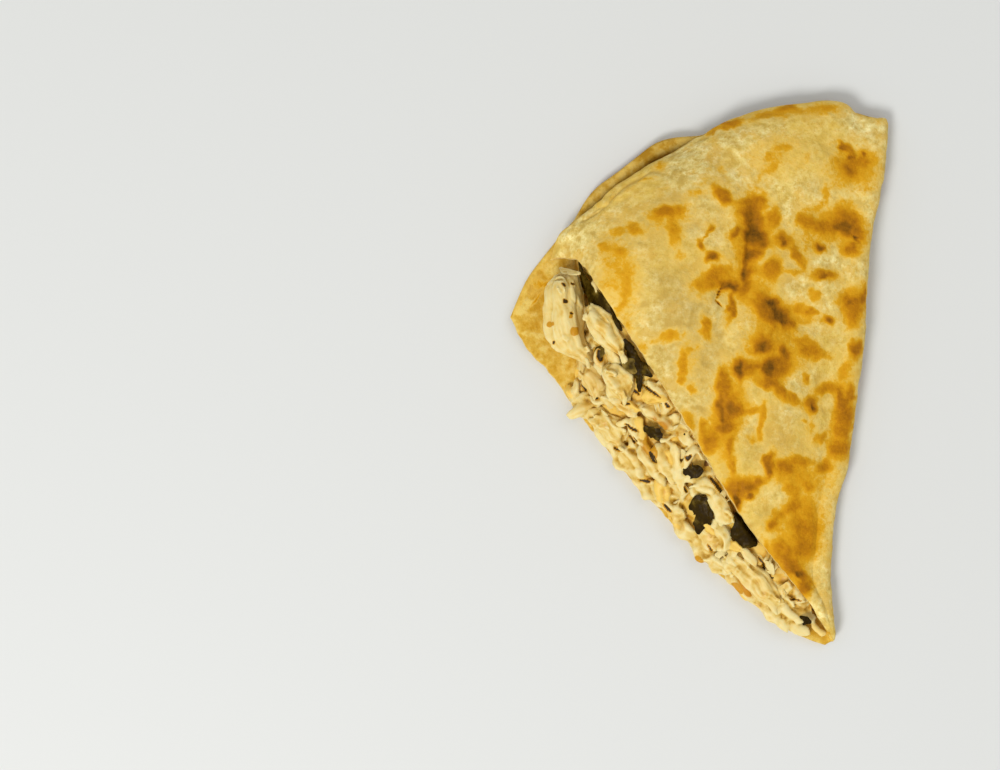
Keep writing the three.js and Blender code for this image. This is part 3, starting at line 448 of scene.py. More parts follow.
        (7.3, 15.8, 3.2, 0.3, 86, 0.30), (-31.0, 36.5, 3.0, 0.3, 50, 0.35),
    ],
}


def toastAt(x, y, marks, seed, veils=(), islands=()):
    # browning over the plan: each mark has a ragged heart and a soft golden halo
    spots = flatPoints(x, y)
    warpX = layered(spots, (0.8, 3.4, seed), (0.5, 1.4, seed + 1), (0.25, 0.8, seed + 4))
    warpY = layered(spots, (0.8, 3.4, seed + 2), (0.5, 1.4, seed + 3), (0.25, 0.8, seed + 5))
    hearts = np.zeros_like(x)
    around = np.zeros_like(x)
    for depth, reach in marksAt(x + warpX, y + warpY, marks):
        hearts += (depth / (1 + (reach / 1.6) ** 1.8)) ** 4
        around += (0.5 * depth / (1 + (reach / 3.6) ** 1.3)) ** 4
    for depth, reach in marksAt(x + 1.6 * warpX, y + 1.6 * warpY, veils):
        around += (1.25 * depth * np.exp(-0.5 * reach**1.2)) ** 4
    around = around**0.25 * (1 - 0.8 * spread(x + 0.7 * warpX, y + 0.7 * warpY, islands))
    return (hearts + around**4) ** 0.25


def spread(x, y, marks):
    total = np.zeros_like(x)
    for depth, reach in marksAt(x, y, marks):
        total = np.maximum(total, depth * np.exp(-(reach**1.5)))
    return total


def undersideMarks(spec):
    # the lower face met the griddle too: a scatter of browned patches, seeded
    pick = random.Random(spec["seed"])
    marks = []
    for _ in range(spec["count"]):
        x, y, long = pick.uniform(*spec["x"]), pick.uniform(*spec["y"]), pick.uniform(*spec["long"])
        wide = long * pick.uniform(0.35, 0.8)
        marks.append((x, y, long, wide, pick.uniform(0, 180), pick.uniform(0.4, 1.0)))
    return marks


def sheetRuns(spec):
    # one section of the sheet: along its outside, and back along its inside
    curl = sheet["curl"]
    upper = np.linspace(curl, 1, spec["upperColumns"] + 1)
    lower = np.linspace(-1, -curl, spec["lowerColumns"] + 1)
    bend = np.linspace(-curl, curl, spec["foldColumns"] + 1)[1:-1]
    innerUpper = np.linspace(1, curl, spec["innerUpperColumns"] + 1)
    innerBend = np.linspace(curl, -curl, spec["innerFoldColumns"] + 1)[1:-1]
    innerLower = np.linspace(-curl, -1, spec["innerLowerColumns"] + 1)
    return np.concatenate([lower, bend, upper]), np.concatenate([innerUpper, innerBend, innerLower])


def sheetToast(spec, plan):
    # browning of the upper face, of the face it lies on, and of the lip that shows inside
    x, y = plan["x"], plan["y"]
    top = toastAt(x, y, spec["toast"], 3, spec["veils"], spec["islands"])
    under = toastAt(x, y, undersideMarks(spec["underside"]), 8)
    isLip = (plan["turn"] < 0) & (plan["face"] < -0.9)
    lip = np.maximum(0.05, toastAt(x, y, spec["lipToast"], 11) * isLip)
    toast = np.where(plan["isUpper"], top, np.where(plan["isUnder"], under, lip))
    rim = 0.35 * smoothStep(0.975, 0.997, plan["along"]) * (0.6 + 0.4 * softNoise(plan["spots"], 7, 5))
    return np.maximum(toast, rim)


def sheetRelief(spec, plan, toast):
    # low relief of a baked sheet: dough, raised blisters, creases and a flaky rim
    turn, along = plan["turn"], plan["along"]
    relief = layered(plan["spots"], *spec["relief"])
    relief += spec["toastRaise"] * smoothStep(0.45, 0.85, toast) * (1 - 0.8 * smoothStep(1.0, 1.2, toast))
    for depth, reach in marksAt(plan["x"], plan["y"], spec["creases"]):
        relief -= np.where(plan["isUpper"], depth * np.exp(-reach), 0)
    rimSpots = np.stack([np.abs(turn) * 26, along * 150, np.sign(turn) * 9], axis=1)
    flaky = smoothStep(0.93, 0.985, along) * smoothStep(0.25, 0.5, np.abs(turn))
    flaky = flaky * (1 + 0.8 * smoothStep(0, -16, plan["x"]))
    return relief + flaky * layered(rimSpots, *spec["flaky"])


def raggedEdges(spec, plan, place, normal, side, firm):
    # cut edges are a little ragged and swell between the two skins, and the round rim has nicks
    turn, face, along = plan["turn"], plan["face"], plan["along"]
    nearCut = smoothStep(0.975, 1, np.abs(turn))
    runSpots = np.stack([along * 120, np.sign(turn) * 40, np.zeros_like(along)], axis=1)
    ragged = spec["edgeRagged"] * layered(runSpots, (1, 2.2, 31), (0.6, 0.9, 32))
    swellOut = spec["edgeSwell"] * (1 - face**2) * (np.abs(turn) > 0.999)
    outward = side * np.sign(turn)[:, None]
    place = place + outward * (nearCut * (ragged - 0.2) + swellOut)[:, None]
    ahead = np.cross(side, normal)
    outline = 0.4 * softNoise(np.stack([turn * 30, face * 0, turn * 0], axis=1), 1.3, 33)
    for depth, reach in marksAt(plan["x"], plan["y"], spec["notches"]):
        outline = outline - depth * np.exp(-reach)
    place = place + ahead * (outline * smoothStep(0.95, 1, along) * firm)[:, None]
    place[:, 2] = np.maximum(place[:, 2], 0)
    return place


def sheetValues(spec, plan, toast, relief):
    # what the material reads at each point
    x, y, face, along, isUpper = (plan[label] for label in ("x", "y", "face", "along", "isUpper"))
    nearRim = smoothStep(0.9, 0.935, along + 0.008 * softNoise(plan["spots"], 3, 41))
    clearOfEdge = 1 - 0.55 * smoothStep(0.972, 0.984, along)
    return {
        "toast": np.where(isUpper, np.maximum(toast, 1.5 * spread(x, y, spec["cracks"])), toast),
        "grey": np.where(isUpper, spread(x, y, spec["greyed"]), 0),
        "crumb": np.where(np.abs(face) < 0.9, 1.0, 0.0),
        "inside": np.where(face < -0.9, 1.0, 0.0),
        # the dark band under the upper sheet's rim: grease and painted shade
        "greaseAndShade": nearRim * clearOfEdge * smoothStep(32, 40, y) * (plan["turn"] < 0),
        # darker dough down in the low relief, as painted shade in the dents
        "sunkenShade": smoothStep(0.02, 0.34, -relief) * (face > 0.9),
    }


def buildTortilla(spec):
    outer, inner = sheetRuns(spec)
    edge = spec["edgeSteps"]
    turns = np.concatenate([outer, [1] * len(edge), inner, [-1] * len(edge)])
    faces = np.concatenate([[1] * len(outer), edge, [-1] * len(inner), [-v for v in edge]])
    body = np.linspace(*spec["bodyRows"], spec["rows"])
    rows = np.concatenate([spec["pointRows"], body, spec["rimRows"]])
    columns = len(turns)
    turn = np.tile(turns, len(rows))
    face = np.tile(faces, len(rows))
    along = np.repeat(rows, columns)
    place, normal, side = sheetFace(turn, along, face)
    plan = {
        "x": place[:, 0] + sheet["shift"][0], "y": place[:, 1] + sheet["shift"][1],
        "turn": turn, "face": face, "along": along, "spots": moved(place),
        "isUpper": (turn > 0.02) & (face > 0.9), "isUnder": (turn < -0.02) & (face > 0.9),
    }
    toast = sheetToast(spec, plan)
    relief = sheetRelief(spec, plan, toast)
    firm = np.where(place[:, 2] < 0.3, 0, 1)  # the face it lies on stays flat
    amount = np.where(face > 0.9, 1.0, 0.45) * firm * (1 - 0.7 * smoothStep(0.985, 1, along))
    place = place + normal * (relief * amount * np.sign(face + 1e-9))[:, None]
    place = raggedEdges(spec, plan, place, normal, side, firm)
    quads = []
    for row in range(len(rows) - 1):
        a = row * columns
        b = a + columns
        for col in range(columns):
            after = (col + 1) % columns
            quads.append((a + col, b + col, b + after, a + after))
    quads += closeSeam(outer, inner, len(edge), 0, columns, True)
    quads += closeSeam(outer, inner, len(edge), (len(rows) - 1) * columns, columns, False)
    values = sheetValues(spec, plan, toast, relief)
    return meshFrom("tortillaSheet", moved(place), quads, values, spec["sharpFrom"])


def closeSeam(outer, inner, edgeCount, start, columns, flip):
    # zips the outer run to the inner run across one end of the sheet
    outerIds = [start + i for i in range(len(outer))]
    first = start + len(outer) + edgeCount
    innerIds = [first + i for i in range(len(inner))][::-1]
    innerTurns = inner[::-1]
    endA = [start + len(outer) + i for i in range(edgeCount)]
    endB = [start + columns - 1 - i for i in range(edgeCount)]
    faces = []
    i = j = 0
    while i < len(outerIds) - 1 or j < len(innerIds) - 1:
        ahead = outer[i + 1] if i < len(outerIds) - 1 else 9
        other = innerTurns[j + 1] if j < len(innerIds) - 1 else 9
        if ahead <= other:
            faces.append((outerIds[i], outerIds[i + 1], innerIds[j]))
            i += 1
        else:
            faces.append((outerIds[i], innerIds[j + 1], innerIds[j]))
            j += 1
    faces.append([outerIds[-1]] + endA + [innerIds[-1]])
    faces.append([innerIds[0]] + endB[::-1] + [outerIds[0]])
    if flip:
        faces = [tuple(reversed(face)) for face in faces]
    return [tuple(face) for face in faces]


# materials
def newMaterial(name):
    material = bpy.data.materials.new(name)
    material.use_nodes = True
    return material, material.node_tree, material.node_tree.nodes["Principled BSDF"]


def objectPlace(tree):
    return tree.nodes.new("ShaderNodeTexCoord").outputs["Object"]


def addRamp(tree, source, stops):
    ramp = tree.nodes.new("ShaderNodeValToRGB")
    elements = ramp.color_ramp.elements
    for element, (position, colour) in zip(elements, (stops[0], stops[-1])):
        element.position = position
        element.color = colour
    for position, colour in stops[1:-1]:
        elements.new(position).color = colour
    tree.links.new(source, ramp.inputs["Fac"])
    return ramp.outputs["Color"]


def addFade(tree, source, low, high, most=1):
    # a share that grows from nothing at low to its most at high
    return addRamp(tree, source, [(low, greyLevel(0)), (high, greyLevel(most))])


def feed(tree, value, socket):
    # a plain value is set, and another node's output is linked
    if isinstance(value, (int, float, tuple, str)):
        socket.default_value = value
    else:
        tree.links.new(value, socket)


def addNoise(tree, vector, scale, detail, rough):
    noise = tree.nodes.new("ShaderNodeTexNoise")
    for label, value in (("Vector", vector), ("Scale", scale), ("Detail", detail), ("Roughness", rough)):
        feed(tree, value, noise.inputs[label])
    return noise.outputs["Fac"]


def addMath(tree, operation, *values, clampIt=False):
    node = tree.nodes.new("ShaderNodeMath")
    node.operation = operation
    node.use_clamp = clampIt
    for value, socket in zip(values, node.inputs):
        feed(tree, value, socket)
    return node.outputs[0]


def addMix(tree, share, first, second):
    node = tree.nodes.new("ShaderNodeMix")
    node.data_type = "RGBA"
    for socket, value in ((0, share), (6, first), (7, second)):
        feed(tree, value, node.inputs[socket])
    return node.outputs[2]


def addAttribute(tree, name, output="Fac"):
    node = tree.nodes.new("ShaderNodeAttribute")
    node.attribute_name = name
    return node.outputs[output]


def greyLevel(level):
    return (level, level, level, 1)


def setRoughness(tree, shader, source, wet, dry):
    # wetter where the clouds are thick
    rough = addRamp(tree, source, [(0.35, greyLevel(dry)), (0.65, greyLevel(wet))])
    tree.links.new(rough, shader.inputs["Roughness"])


def setBump(tree, shader, height, strength, distance):
    bump = tree.nodes.new("ShaderNodeBump")
    for label, value in (("Strength", strength), ("Distance", distance), ("Height", height)):
        feed(tree, value, bump.inputs[label])
    tree.links.new(bump.outputs["Normal"], shader.inputs["Normal"])


def setFlesh(shader, weight, radius, specular):
    shader.inputs["Subsurface Weight"].default_value = weight
    shader.inputs["Subsurface Radius"].default_value = radius
    shader.inputs["Subsurface Scale"].default_value = 1.0
    shader.inputs["Specular IOR Level"].default_value = specular


def makeFoodGrain():
    # the grain that all the foods share: soft clouds, a fine grain, and both as one height
    tree = bpy.data.node_groups.new("foodGrain", "ShaderNodeTree")
    tree.interface.new_socket(name="Place", in_out="INPUT", socket_type="NodeSocketVector")
    for label in ("Cloud Scale", "Grain Scale", "Grain Share"):
        tree.interface.new_socket(name=label, in_out="INPUT", socket_type="NodeSocketFloat")
    for label in ("Cloud", "Grain", "Height"):
        tree.interface.new_socket(name=label, in_out="OUTPUT", socket_type="NodeSocketFloat")
    given = tree.nodes.new("NodeGroupInput").outputs
    cloud = addNoise(tree, given["Place"], given["Cloud Scale"], 3, 0.58)
    grain = addNoise(tree, given["Place"], given["Grain Scale"], 4, 0.65)
    height = addMath(tree, "MULTIPLY_ADD", grain, given["Grain Share"], cloud)
    result = tree.nodes.new("NodeGroupOutput").inputs
    for label, value in (("Cloud", cloud), ("Grain", grain), ("Height", height)):
        tree.links.new(value, result[label])
    return tree


foodGrain = makeFoodGrain()


def addGrain(tree, vector, *amounts):
    # the amounts are cloud scale, grain scale and grain share
    node = tree.nodes.new("ShaderNodeGroup")
    node.node_tree = foodGrain
    for value, socket in zip((vector,) + amounts, node.inputs):
        feed(tree, value, socket)
    return node.outputs


def bakedTortilla():
    material, tree, shader = newMaterial("bakedTortilla")
    place = objectPlace(tree)
    toast, grey, crumb, inside, greaseAndShade = (
        addAttribute(tree, label) for label in ("toast", "grey", "crumb", "inside", "greaseAndShade")
    )
    wide = addGrain(tree, place, 60, 190, 0.5)
    close = addGrain(tree, place, 480, 1150, 0.7)
    # pale dough: straw, with creamy and greyer clouds
    pale = addMath(tree, "MULTIPLY_ADD", close["Cloud"], 0.5, addMath(tree, "MULTIPLY", wide["Grain"], 0.5))
    dough = addRamp(tree, pale, [
        (0.40, srgb(197, 166, 84)),
        (0.46, srgb(216, 191, 111)),
        (0.52, srgb(231, 212, 139)),
        (0.58, srgb(247, 234, 170)),
    ])
    golden = addFade(tree, wide["Cloud"], 0.47, 0.6, 0.66)
    dough = addMix(tree, golden, dough, srgb(220, 183, 76))
    mottle = addFade(tree, wide["Grain"], 0.5, 0.59, 0.76)
    dough = addMix(tree, mottle, dough, srgb(212, 169, 62))
    # painted shade: the dough is darkened in the dents of its relief
    sunkenShade = addMath(tree, "MULTIPLY", addAttribute(tree, "sunkenShade"), 0.5)
    dough = addMix(tree, sunkenShade, dough, srgb(194, 152, 62))
    speckle = addFade(tree, close["Grain"], 0.54, 0.64, 0.6)
    dough = addMix(tree, speckle, dough, srgb(196, 155, 58))
    greyShare = addMath(tree, "MULTIPLY_ADD", close["Grain"], 0.8, 0.3)
    greyShare = addMath(tree, "MULTIPLY", greyShare, grey, clampIt=True)
    dough = addMix(tree, greyShare, dough, srgb(184, 151, 72))
    # browning follows the toast value, broken up by the grain of the dough
    grain = addMath(tree, "SUBTRACT", close["Grain"], 0.5)
    cloud = addMath(tree, "SUBTRACT", close["Cloud"], 0.5)
    brown = addMath(tree, "MULTIPLY_ADD", grain, 0.4, toast)
    brown = addMath(tree, "MULTIPLY_ADD", cloud, 0.35, brown)
    brownColour = addRamp(tree, addMath(tree, "MULTIPLY", brown, 0.75), [
        (0.20, srgb(228, 190, 92)),
        (0.28, srgb(220, 174, 60)),
        (0.36, srgb(211, 156, 26)),
        (0.48, srgb(200, 140, 8)),
        (0.60, srgb(182, 120, 0)),
        (0.72, srgb(161, 102, 0)),
        (0.84, srgb(132, 84, 0)),
        (1.00, srgb(76, 49, 0)),
    ])
    share = addRamp(tree, brown, [(0.1, greyLevel(0)), (0.28, greyLevel(0.5)), (0.46, greyLevel(1))])
    colour = addMix(tree, share, dough, brownColour)
    # the inner side is steamed and greasy, with a dark band by the rim under the upper sheet that is grease
    # and painted shade; the cut edge shows raw crumb
    steamed = addRamp(tree, pale, [
        (0.41, srgb(199, 150, 38)),
        (0.50, srgb(214, 173, 66)),
        (0.58, srgb(228, 199, 106)),
    ])
    # the band's colour: grease and painted shade under the upper sheet
    band = addRamp(tree, wide["Grain"], [(0.38, srgb(102, 62, 0)), (0.62, srgb(146, 98, 4))])
    steamed = addMix(tree, greaseAndShade, steamed, band)
    steamed = addMix(tree, share, steamed, brownColour)
    colour = addMix(tree, inside, colour, steamed)
    crumbColour = addRamp(tree, close["Grain"], [(0.35, srgb(200, 163, 80)), (0.65, srgb(234, 208, 136))])
    colour = addMix(tree, crumb, colour, crumbColour)
    tree.links.new(colour, shader.inputs["Base Color"])
    rough = addRamp(tree, brown, [(0.3, greyLevel(0.8)), (0.9, greyLevel(0.62))])
    tree.links.new(rough, shader.inputs["Roughness"])
    setBump(tree, shader, close["Height"], 0.5, 0.0005)
    setFlesh(shader, 0.06, (0.0012, 0.0007, 0.0003), 0.12)
    return material


print("tortilla")
tortillaSheet = buildTortilla(tortilla)
tortillaSheet.data.materials.append(bakedTortilla())
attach(tortillaSheet, "root")
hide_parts("tortilla")


# the space between the two sheets
space = {
    "cell": 0.6, "left": -52, "near": -72, "columns": 175, "rows": 240, "air": 0.1,
    "samples": (240, 340),  # across and along each sheet
    "edgeSamples": 420,
    "beyond": (0.3, 4.6, 0.3),  # first, last and step of the distances past the upper cut
    "slope": 1.1,
    "rise": 0.15,
}


def innerFloor(across, along):
    return sheetFace(-(sheet["curl"] + (1 - sheet["curl"]) * across), along, -1)[0]


def innerRoof(across, along):
    return sheetFace(sheet["curl"] + (1 - sheet["curl"]) * across, along, -1)[0]


def heightGrid(points, pick):
    # height over each cell of the plan, spread two cells past its own edge
    grid = np.full((space["columns"], space["rows"]), np.nan)
    i = np.clip(((points[:, 0] - space["left"]) / space["cell"]).astype(int), 0, space["columns"] - 1)
    j = np.clip(((points[:, 1] - space["near"]) / space["cell"]).astype(int), 0, space["rows"] - 1)
    pick.at(grid, (i, j), points[:, 2])
    for _ in range(2):
        padded = np.pad(grid, 1, constant_values=np.nan)
        sides = np.stack([padded[:-2, 1:-1], padded[2:, 1:-1], padded[1:-1, :-2], padded[1:-1, 2:]])
        known = ~np.isnan(sides)
        total = np.where(known, sides, 0).sum(axis=0)
        count = known.sum(axis=0)
        fill = np.isnan(grid) & (count > 0)
        grid[fill] = total[fill] / count[fill]
    return grid


def gridHeight(grid, x, y, empty):
    fx = (x - space["left"]) / space["cell"] - 0.5
    fy = (y - space["near"]) / space["cell"] - 0.5
    i = np.clip(np.floor(fx).astype(int), 0, space["columns"] - 2)
    j = np.clip(np.floor(fy).astype(int), 0, space["rows"] - 2)
    p = np.clip(fx - i, 0, 1)
    q = np.clip(fy - j, 0, 1)
    low = mix(grid[i, j], grid[i + 1, j], p)
    high = mix(grid[i, j + 1], grid[i + 1, j + 1], p)
    height = mix(low, high, q)
    return np.where(np.isnan(height), empty, height)


def makeSpaceGrids():
    acrossCount, alongCount = space["samples"]
    across = np.tile(np.linspace(0, 1, acrossCount), alongCount)
    along = np.repeat(np.linspace(0.004, 0.996, alongCount), acrossCount)
    roof = innerRoof(across, along)
    floor = innerFloor(across, along)
    # past the upper cut the ceiling opens at a slope, so food comes out from under the edge
    run = np.linspace(0, 1, space["edgeSamples"])
    edge, _, side = sheetFace(np.ones_like(run), run, -1)
    steps = [roof]
    for reach in np.arange(*space["beyond"]):
        ahead = edge + side * reach
        ahead[:, 2] = edge[:, 2] + space["slope"] * reach + space["rise"]
        steps.append(ahead)
    return heightGrid(np.concatenate(steps), np.fmin), heightGrid(floor, np.fmax)


roofGrid, floorGrid = makeSpaceGrids()


def pressBetween(points):
    # keeps food under the upper sheet and on the lower one
    ceiling = gridHeight(roofGrid, points[:, 0], points[:, 1], 99)
    ground = gridHeight(floorGrid, points[:, 0], points[:, 1], 0)
    height = np.minimum(points[:, 2], ceiling - space["air"])
    height = np.maximum(height, np.maximum(ground, 0) + space["air"])
    return np.column_stack([points[:, :2], height])


heap = {
    "reach": (0.965, 0.8),  # share of the lower sheet that it covers, from the point to the rim
    "drawsBack": (0.76, 0.9),  # where along the fold the one becomes the other
    "head": 0.985,
    "bulge": 1.6,
    "overFoot": 0.5,
    "underHead": 0.7,
    "rows": 300,
    "columns": 59,
}


def heapReach(along):
    return mix(*heap["reach"], smoothStep(*heap["drawsBack"], along))


def heapFace(share, along):
    # the open face of the heap, from the lower cut edge (0) to the upper one (1)
    foot = innerFloor(heapReach(along), along)
    head = innerRoof(heap["head"], along)
    rise = 1 - (1 - np.clip(share, 0, 1)) ** heap["bulge"]
    place = mix(foot, head, share[:, None])
    place[:, 2] = mix(foot[:, 2] + heap["overFoot"], head[:, 2] - heap["underHead"], rise)
    return place


def makeFaceTable():
    rows, columns = heap["rows"], heap["columns"]
    along = np.linspace(0.02, 0.99, rows)
    share = np.linspace(-0.3, 1.15, columns)
    table = heapFace(np.tile(share, rows), np.repeat(along, columns)).reshape(rows, columns, 3)
    up = np.cross(np.gradient(table, axis=0), np.gradient(table, axis=1))
    up /= np.linalg.norm(up, axis=2, keepdims=True)
    up *= np.sign(up[..., 2:])
    return table.reshape(-1, 3), up.reshape(-1, 3)


facePlaces, faceNormals = makeFaceTable()


def onFace(x, y):
    # height and slope of the open face above a plan point
    nearest = np.argmin((facePlaces[:, 0] - x) ** 2 + (facePlaces[:, 1] - y) ** 2)
    place = facePlaces[nearest]
    up = faceNormals[nearest]
    slope = -up[:2] / max(up[2], 0.3)
    return place[2] + slope[0] * (x - place[0]) + slope[1] * (y - place[1]), slope


def laidOn(points, piece):
    # turns points that lie along X onto the open face
    height, slope = onFace(piece["x"], piece["y"])
    lean = piece.get("lean", 0.75)
    up = Vector((-slope[0] * lean, -slope[1] * lean, 1)).normalized()
    turn = math.radians(piece.get("turn", 0))
    ahead = Vector((math.cos(turn), math.sin(turn), 0))
    ahead = (ahead - up * ahead.dot(up)).normalized()
    side = up.cross(ahead)
    basis = np.array([ahead, side, up])
    z = piece.get("z", height + piece.get("lift", 0))
    return points @ basis + np.array([piece["x"], piece["y"], z])


# cooked chicken, torn along its fibres
def tubeFaces(around, along):
    # rings of a tube, closed by one point at each end; the points follow ring by ring
    faces = []
    for ring in range(along - 1):
        a = ring * around
        b = a + around
        for k in range(around):
            n = (k + 1) % around
            faces.append((a + k, a + n, b + n, b + k))
    first = around * along
    last = first + 1
    end = around * (along - 1)
    for k in range(around):
        n = (k + 1) % around
        faces.append((first, n, k))
        faces.append((last, end + k, end + n))
    return faces


def slabFaces(across, along, order=(0, 1, 2, 3), rimOrder=(0, 1, 2, 3)):
    # two grids back to back, joined round the rim; the orders say how a quad is wound and split
    count = across * along
    faces = []
    for k in range(along - 1):
        for m in range(across - 1):
            a = k * across + m
            top = (a, a + across, a + across + 1, a + 1)
            under = (count + a, count + a + 1, count + a + across + 1, count + a + across)
            faces += [tuple(quad[i] for i in order) for quad in (top, under)]
    rim = list(range(across))
    rim += [k * across + across - 1 for k in range(1, along)]
    rim += [(along - 1) * across + m for m in range(across - 2, -1, -1)]
    rim += [k * across for k in range(along - 2, 0, -1)]
    for a, b in zip(rim, rim[1:] + rim[:1]):
        quad = (a, b, count + b, count + a)
        faces.append(tuple(quad[i] for i in rimOrder))
    return faces


def outlineOf(spec):
    # middle and half width along a piece; a plain piece is a blunt oval
    run = spec.get("run")
    if run is None:
        half = spec["wide"] / 2
        run = [(-1, 0, 0.45 * half), (-0.75, 0, 0.85 * half), (-0.2, 0, half), (0.4, 0, 0.95 * half),
               (0.8, 0, 0.75 * half), (1, 0, 0.4 * half)]
    run = np.array(run, float)
    return lambda u: (np.interp(u, run[:, 0], run[:, 1]), np.interp(u, run[:, 0], run[:, 2]))


def tornBundle(spec, pick):
    # bundles of fibres side by side, of uneven length and thickness, round a fuller one in the middle
    outline = outlineOf(spec)
    around, rings = spec.get("sides", (9, 11))
    count = spec.get("bundles", 4)
    widest = max(outline(np.linspace(-1, 1, 21))[1])
    faces = []
    points = []
    start = 0
    turned = pick.uniform(0, math.pi)
    for k in range(count + 1):
        inner = k == count
        low = -1 + (0.12 if inner else pick.uniform(0, spec.get("torn", 0.3)))
        high = 1 - (0.12 if inner else pick.uniform(0, spec.get("torn", 0.3)))
        u = np.linspace(low, high, rings)
        t = np.linspace(-1, 1, rings)
        middle, half = outline(u)
        tall = spec["tall"] / 2 * (half / widest) ** 0.7
        seed = pick.randrange(1000)
        wander = 0.3 * softNoise(flatPoints(u * 1.7, u * 0), 0.8, seed)
        angle = 2 * math.pi * (k + pick.uniform(-0.22, 0.22)) / count + turned + wander
        out = 0 if inner else 0.5
        size = pick.uniform(0.86, 1.14) * (0.76 if inner else min(0.68, 1.4 / math.sqrt(count)))
        full = (1 - np.abs(t * 0.97) ** spec.get("blunt", 4)) ** 0.5
        grow = size * full * (1 + 0.16 * softNoise(flatPoints(u * 2.4, u * 0), 0.7, seed + 1))
        a = np.linspace(0, 2 * math.pi, around, endpoint=False)[None, :]
        tilt = pick.uniform(0, math.pi)
        flat = 1 + 0.2 * np.cos(2 * (a - tilt)) + 0.1 * np.cos(3 * a + seed)
        y = (middle + half * out * np.cos(angle))[:, None] + (half * grow)[:, None] * np.cos(a) * flat
        z = (tall * out * np.sin(angle))[:, None] + (tall * grow)[:, None] * np.sin(a) * flat
        x = np.repeat(u[:, None] * spec["long"] / 2, around, axis=1)
        ends = [[x[0, 0] - 0.1, y[0].mean(), z[0].mean()], [x[-1, 0] + 0.1, y[-1].mean(), z[-1].mean()]]
        points.append(np.concatenate([np.stack([x, y, z], axis=2).reshape(-1, 3), ends]))
        faces += [tuple(start + i for i in face) for face in tubeFaces(around, rings)]
        start += around * rings + 2
    return bent(np.concatenate(points), spec), faces


def tornFlake(spec, pick):
    # a thin strip peeled off along the fibres: curled across, waved along, with split ends
    across, along = spec.get("flakeSides", (7, 12))
    seed = pick.randrange(1000)
    u = np.repeat(-np.cos(np.linspace(0, math.pi, along)), across)
    v = np.tile(np.linspace(-1, 1, across), along)
    spots = np.stack([np.sign(u) * 3, v * 2.2, np.zeros_like(u)], axis=1)
    split = 1 - spec.get("torn", 0.3) * (0.5 + 0.5 * softNoise(spots, 0.9, seed)) * np.abs(u) ** 2
    x = spec["long"] / 2 * u * split
    uneven = 0.86 + 0.24 * softNoise(flatPoints(u * 1.6, u * 0), 0.8, seed + 1)
    y = v * (spec["wide"] / 2 * uneven * (1 - 0.3 * u**4))
    curl = spec.get("curl", 0.35) * spec["wide"]
    middle = curl * (v**2 - 0.4) * (0.6 + 0.5 * np.sin(1.7 * u + seed))
    middle += 0.3 * softNoise(flatPoints(u * 1.4, v * 0.6), 0.7, seed + 2)
    ribs = 0.75 + 0.35 * softNoise(flatPoints(v * 3, u * 0.5), 0.8, seed + 3)
    thick = spec["tall"] / 2 * ribs * np.sqrt(1.02 - v**6) * np.sqrt(1.02 - u**8)
    skins = [np.stack([x, y, height], axis=1) for height in (middle + thick, middle - thick)]
    return bent(np.concatenate(skins), spec), slabFaces(across, along)


def bent(points, spec):
    points = points.copy()
    share = points[:, 0] / (spec["long"] / 2)
    points[:, 1] += spec.get("bend", 0) * (share**2 - 0.3)
    points[:, 2] += spec.get("arch", 0) * (0.4 - share**2)
    return points


alongFibres = np.array([0.12, 1, 1])


def newPile():
    return {"points": [], "faces": [], "fibre": [], "tint": [], "count": 0}


def addTo(pile, points, faces, fibre, tint):
    start = pile["count"]
    pile["points"].append(points)
    pile["faces"] += [tuple(start + i for i in face) for face in faces]
    pile["fibre"].append(fibre)
    pile["tint"].append(np.full(len(points), tint, float))
    pile["count"] += len(points)


def addMeat(pile, spec, pick, flake=False):
    # fibre coordinates are short along the fibres, so that noise on them runs in streaks
    points, faces = tornFlake(spec, pick) if flake else tornBundle(spec, pick)
    pile["offset"] = np.array([pick.uniform(-99, 99), 0, 0])
    addTo(pile, laidOn(points, spec), faces, points * alongFibres + pile["offset"], spec["tint"])


def meshArrays(mesh):
    # points in millimetres, their normals, and the edges as pairs of points
    def read(items, label, width, form):
        data = np.empty(len(items) * width, form)
        items.foreach_get(label, data)
        return data.reshape(-1, width)

    points = read(mesh.vertices, "co", 3, np.float32).astype(float) / mm
    normals = read(mesh.vertices, "normal", 3, np.float32).astype(float)
    return points, normals, read(mesh.edges, "vertices", 2, np.int32)


def evened(values, edges, rounds):
    # each point takes the mean of itself and its neighbours
    count = np.bincount(edges.ravel(), minlength=len(values)).astype(float)
    shaped = values.reshape(len(values), -1)
    for _ in range(rounds):
        total = np.stack([
            np.bincount(edges[:, 0], shaped[edges[:, 1], i], len(values))
            + np.bincount(edges[:, 1], shaped[edges[:, 0], i], len(values))
            for i in range(shaped.shape[1])
        ], axis=1)
        shaped = (shaped + total) / (1 + count)[:, None]
    return shaped.reshape(values.shape)


def remeshed(name, points, faces, look):
    # overlapping lumps as one closed skin
    rough = meshFrom(name + "Rough", points, faces)
    grow = rough.modifiers.new("grow", "REMESH")
    grow.mode = "VOXEL"
    grow.voxel_size = look["cell"] * mm
    soften = rough.modifiers.new("soften", "SMOOTH")
    soften.factor = 0.5
    soften.iterations = look["soften"]
    mesh = bpy.data.meshes.new_from_object(rough.evaluated_get(bpy.context.evaluated_depsgraph_get()))
    bpy.data.objects.remove(rough)
    mesh.name = name
    return mesh


def nearestOf(points, places):
    # for each place, which of the points is nearest
    tree = KDTree(len(points))
    for i, point in enumerate(points):
        tree.insert(point, i)
    tree.balance()
    return np.array([tree.find(place)[1] for place in places])


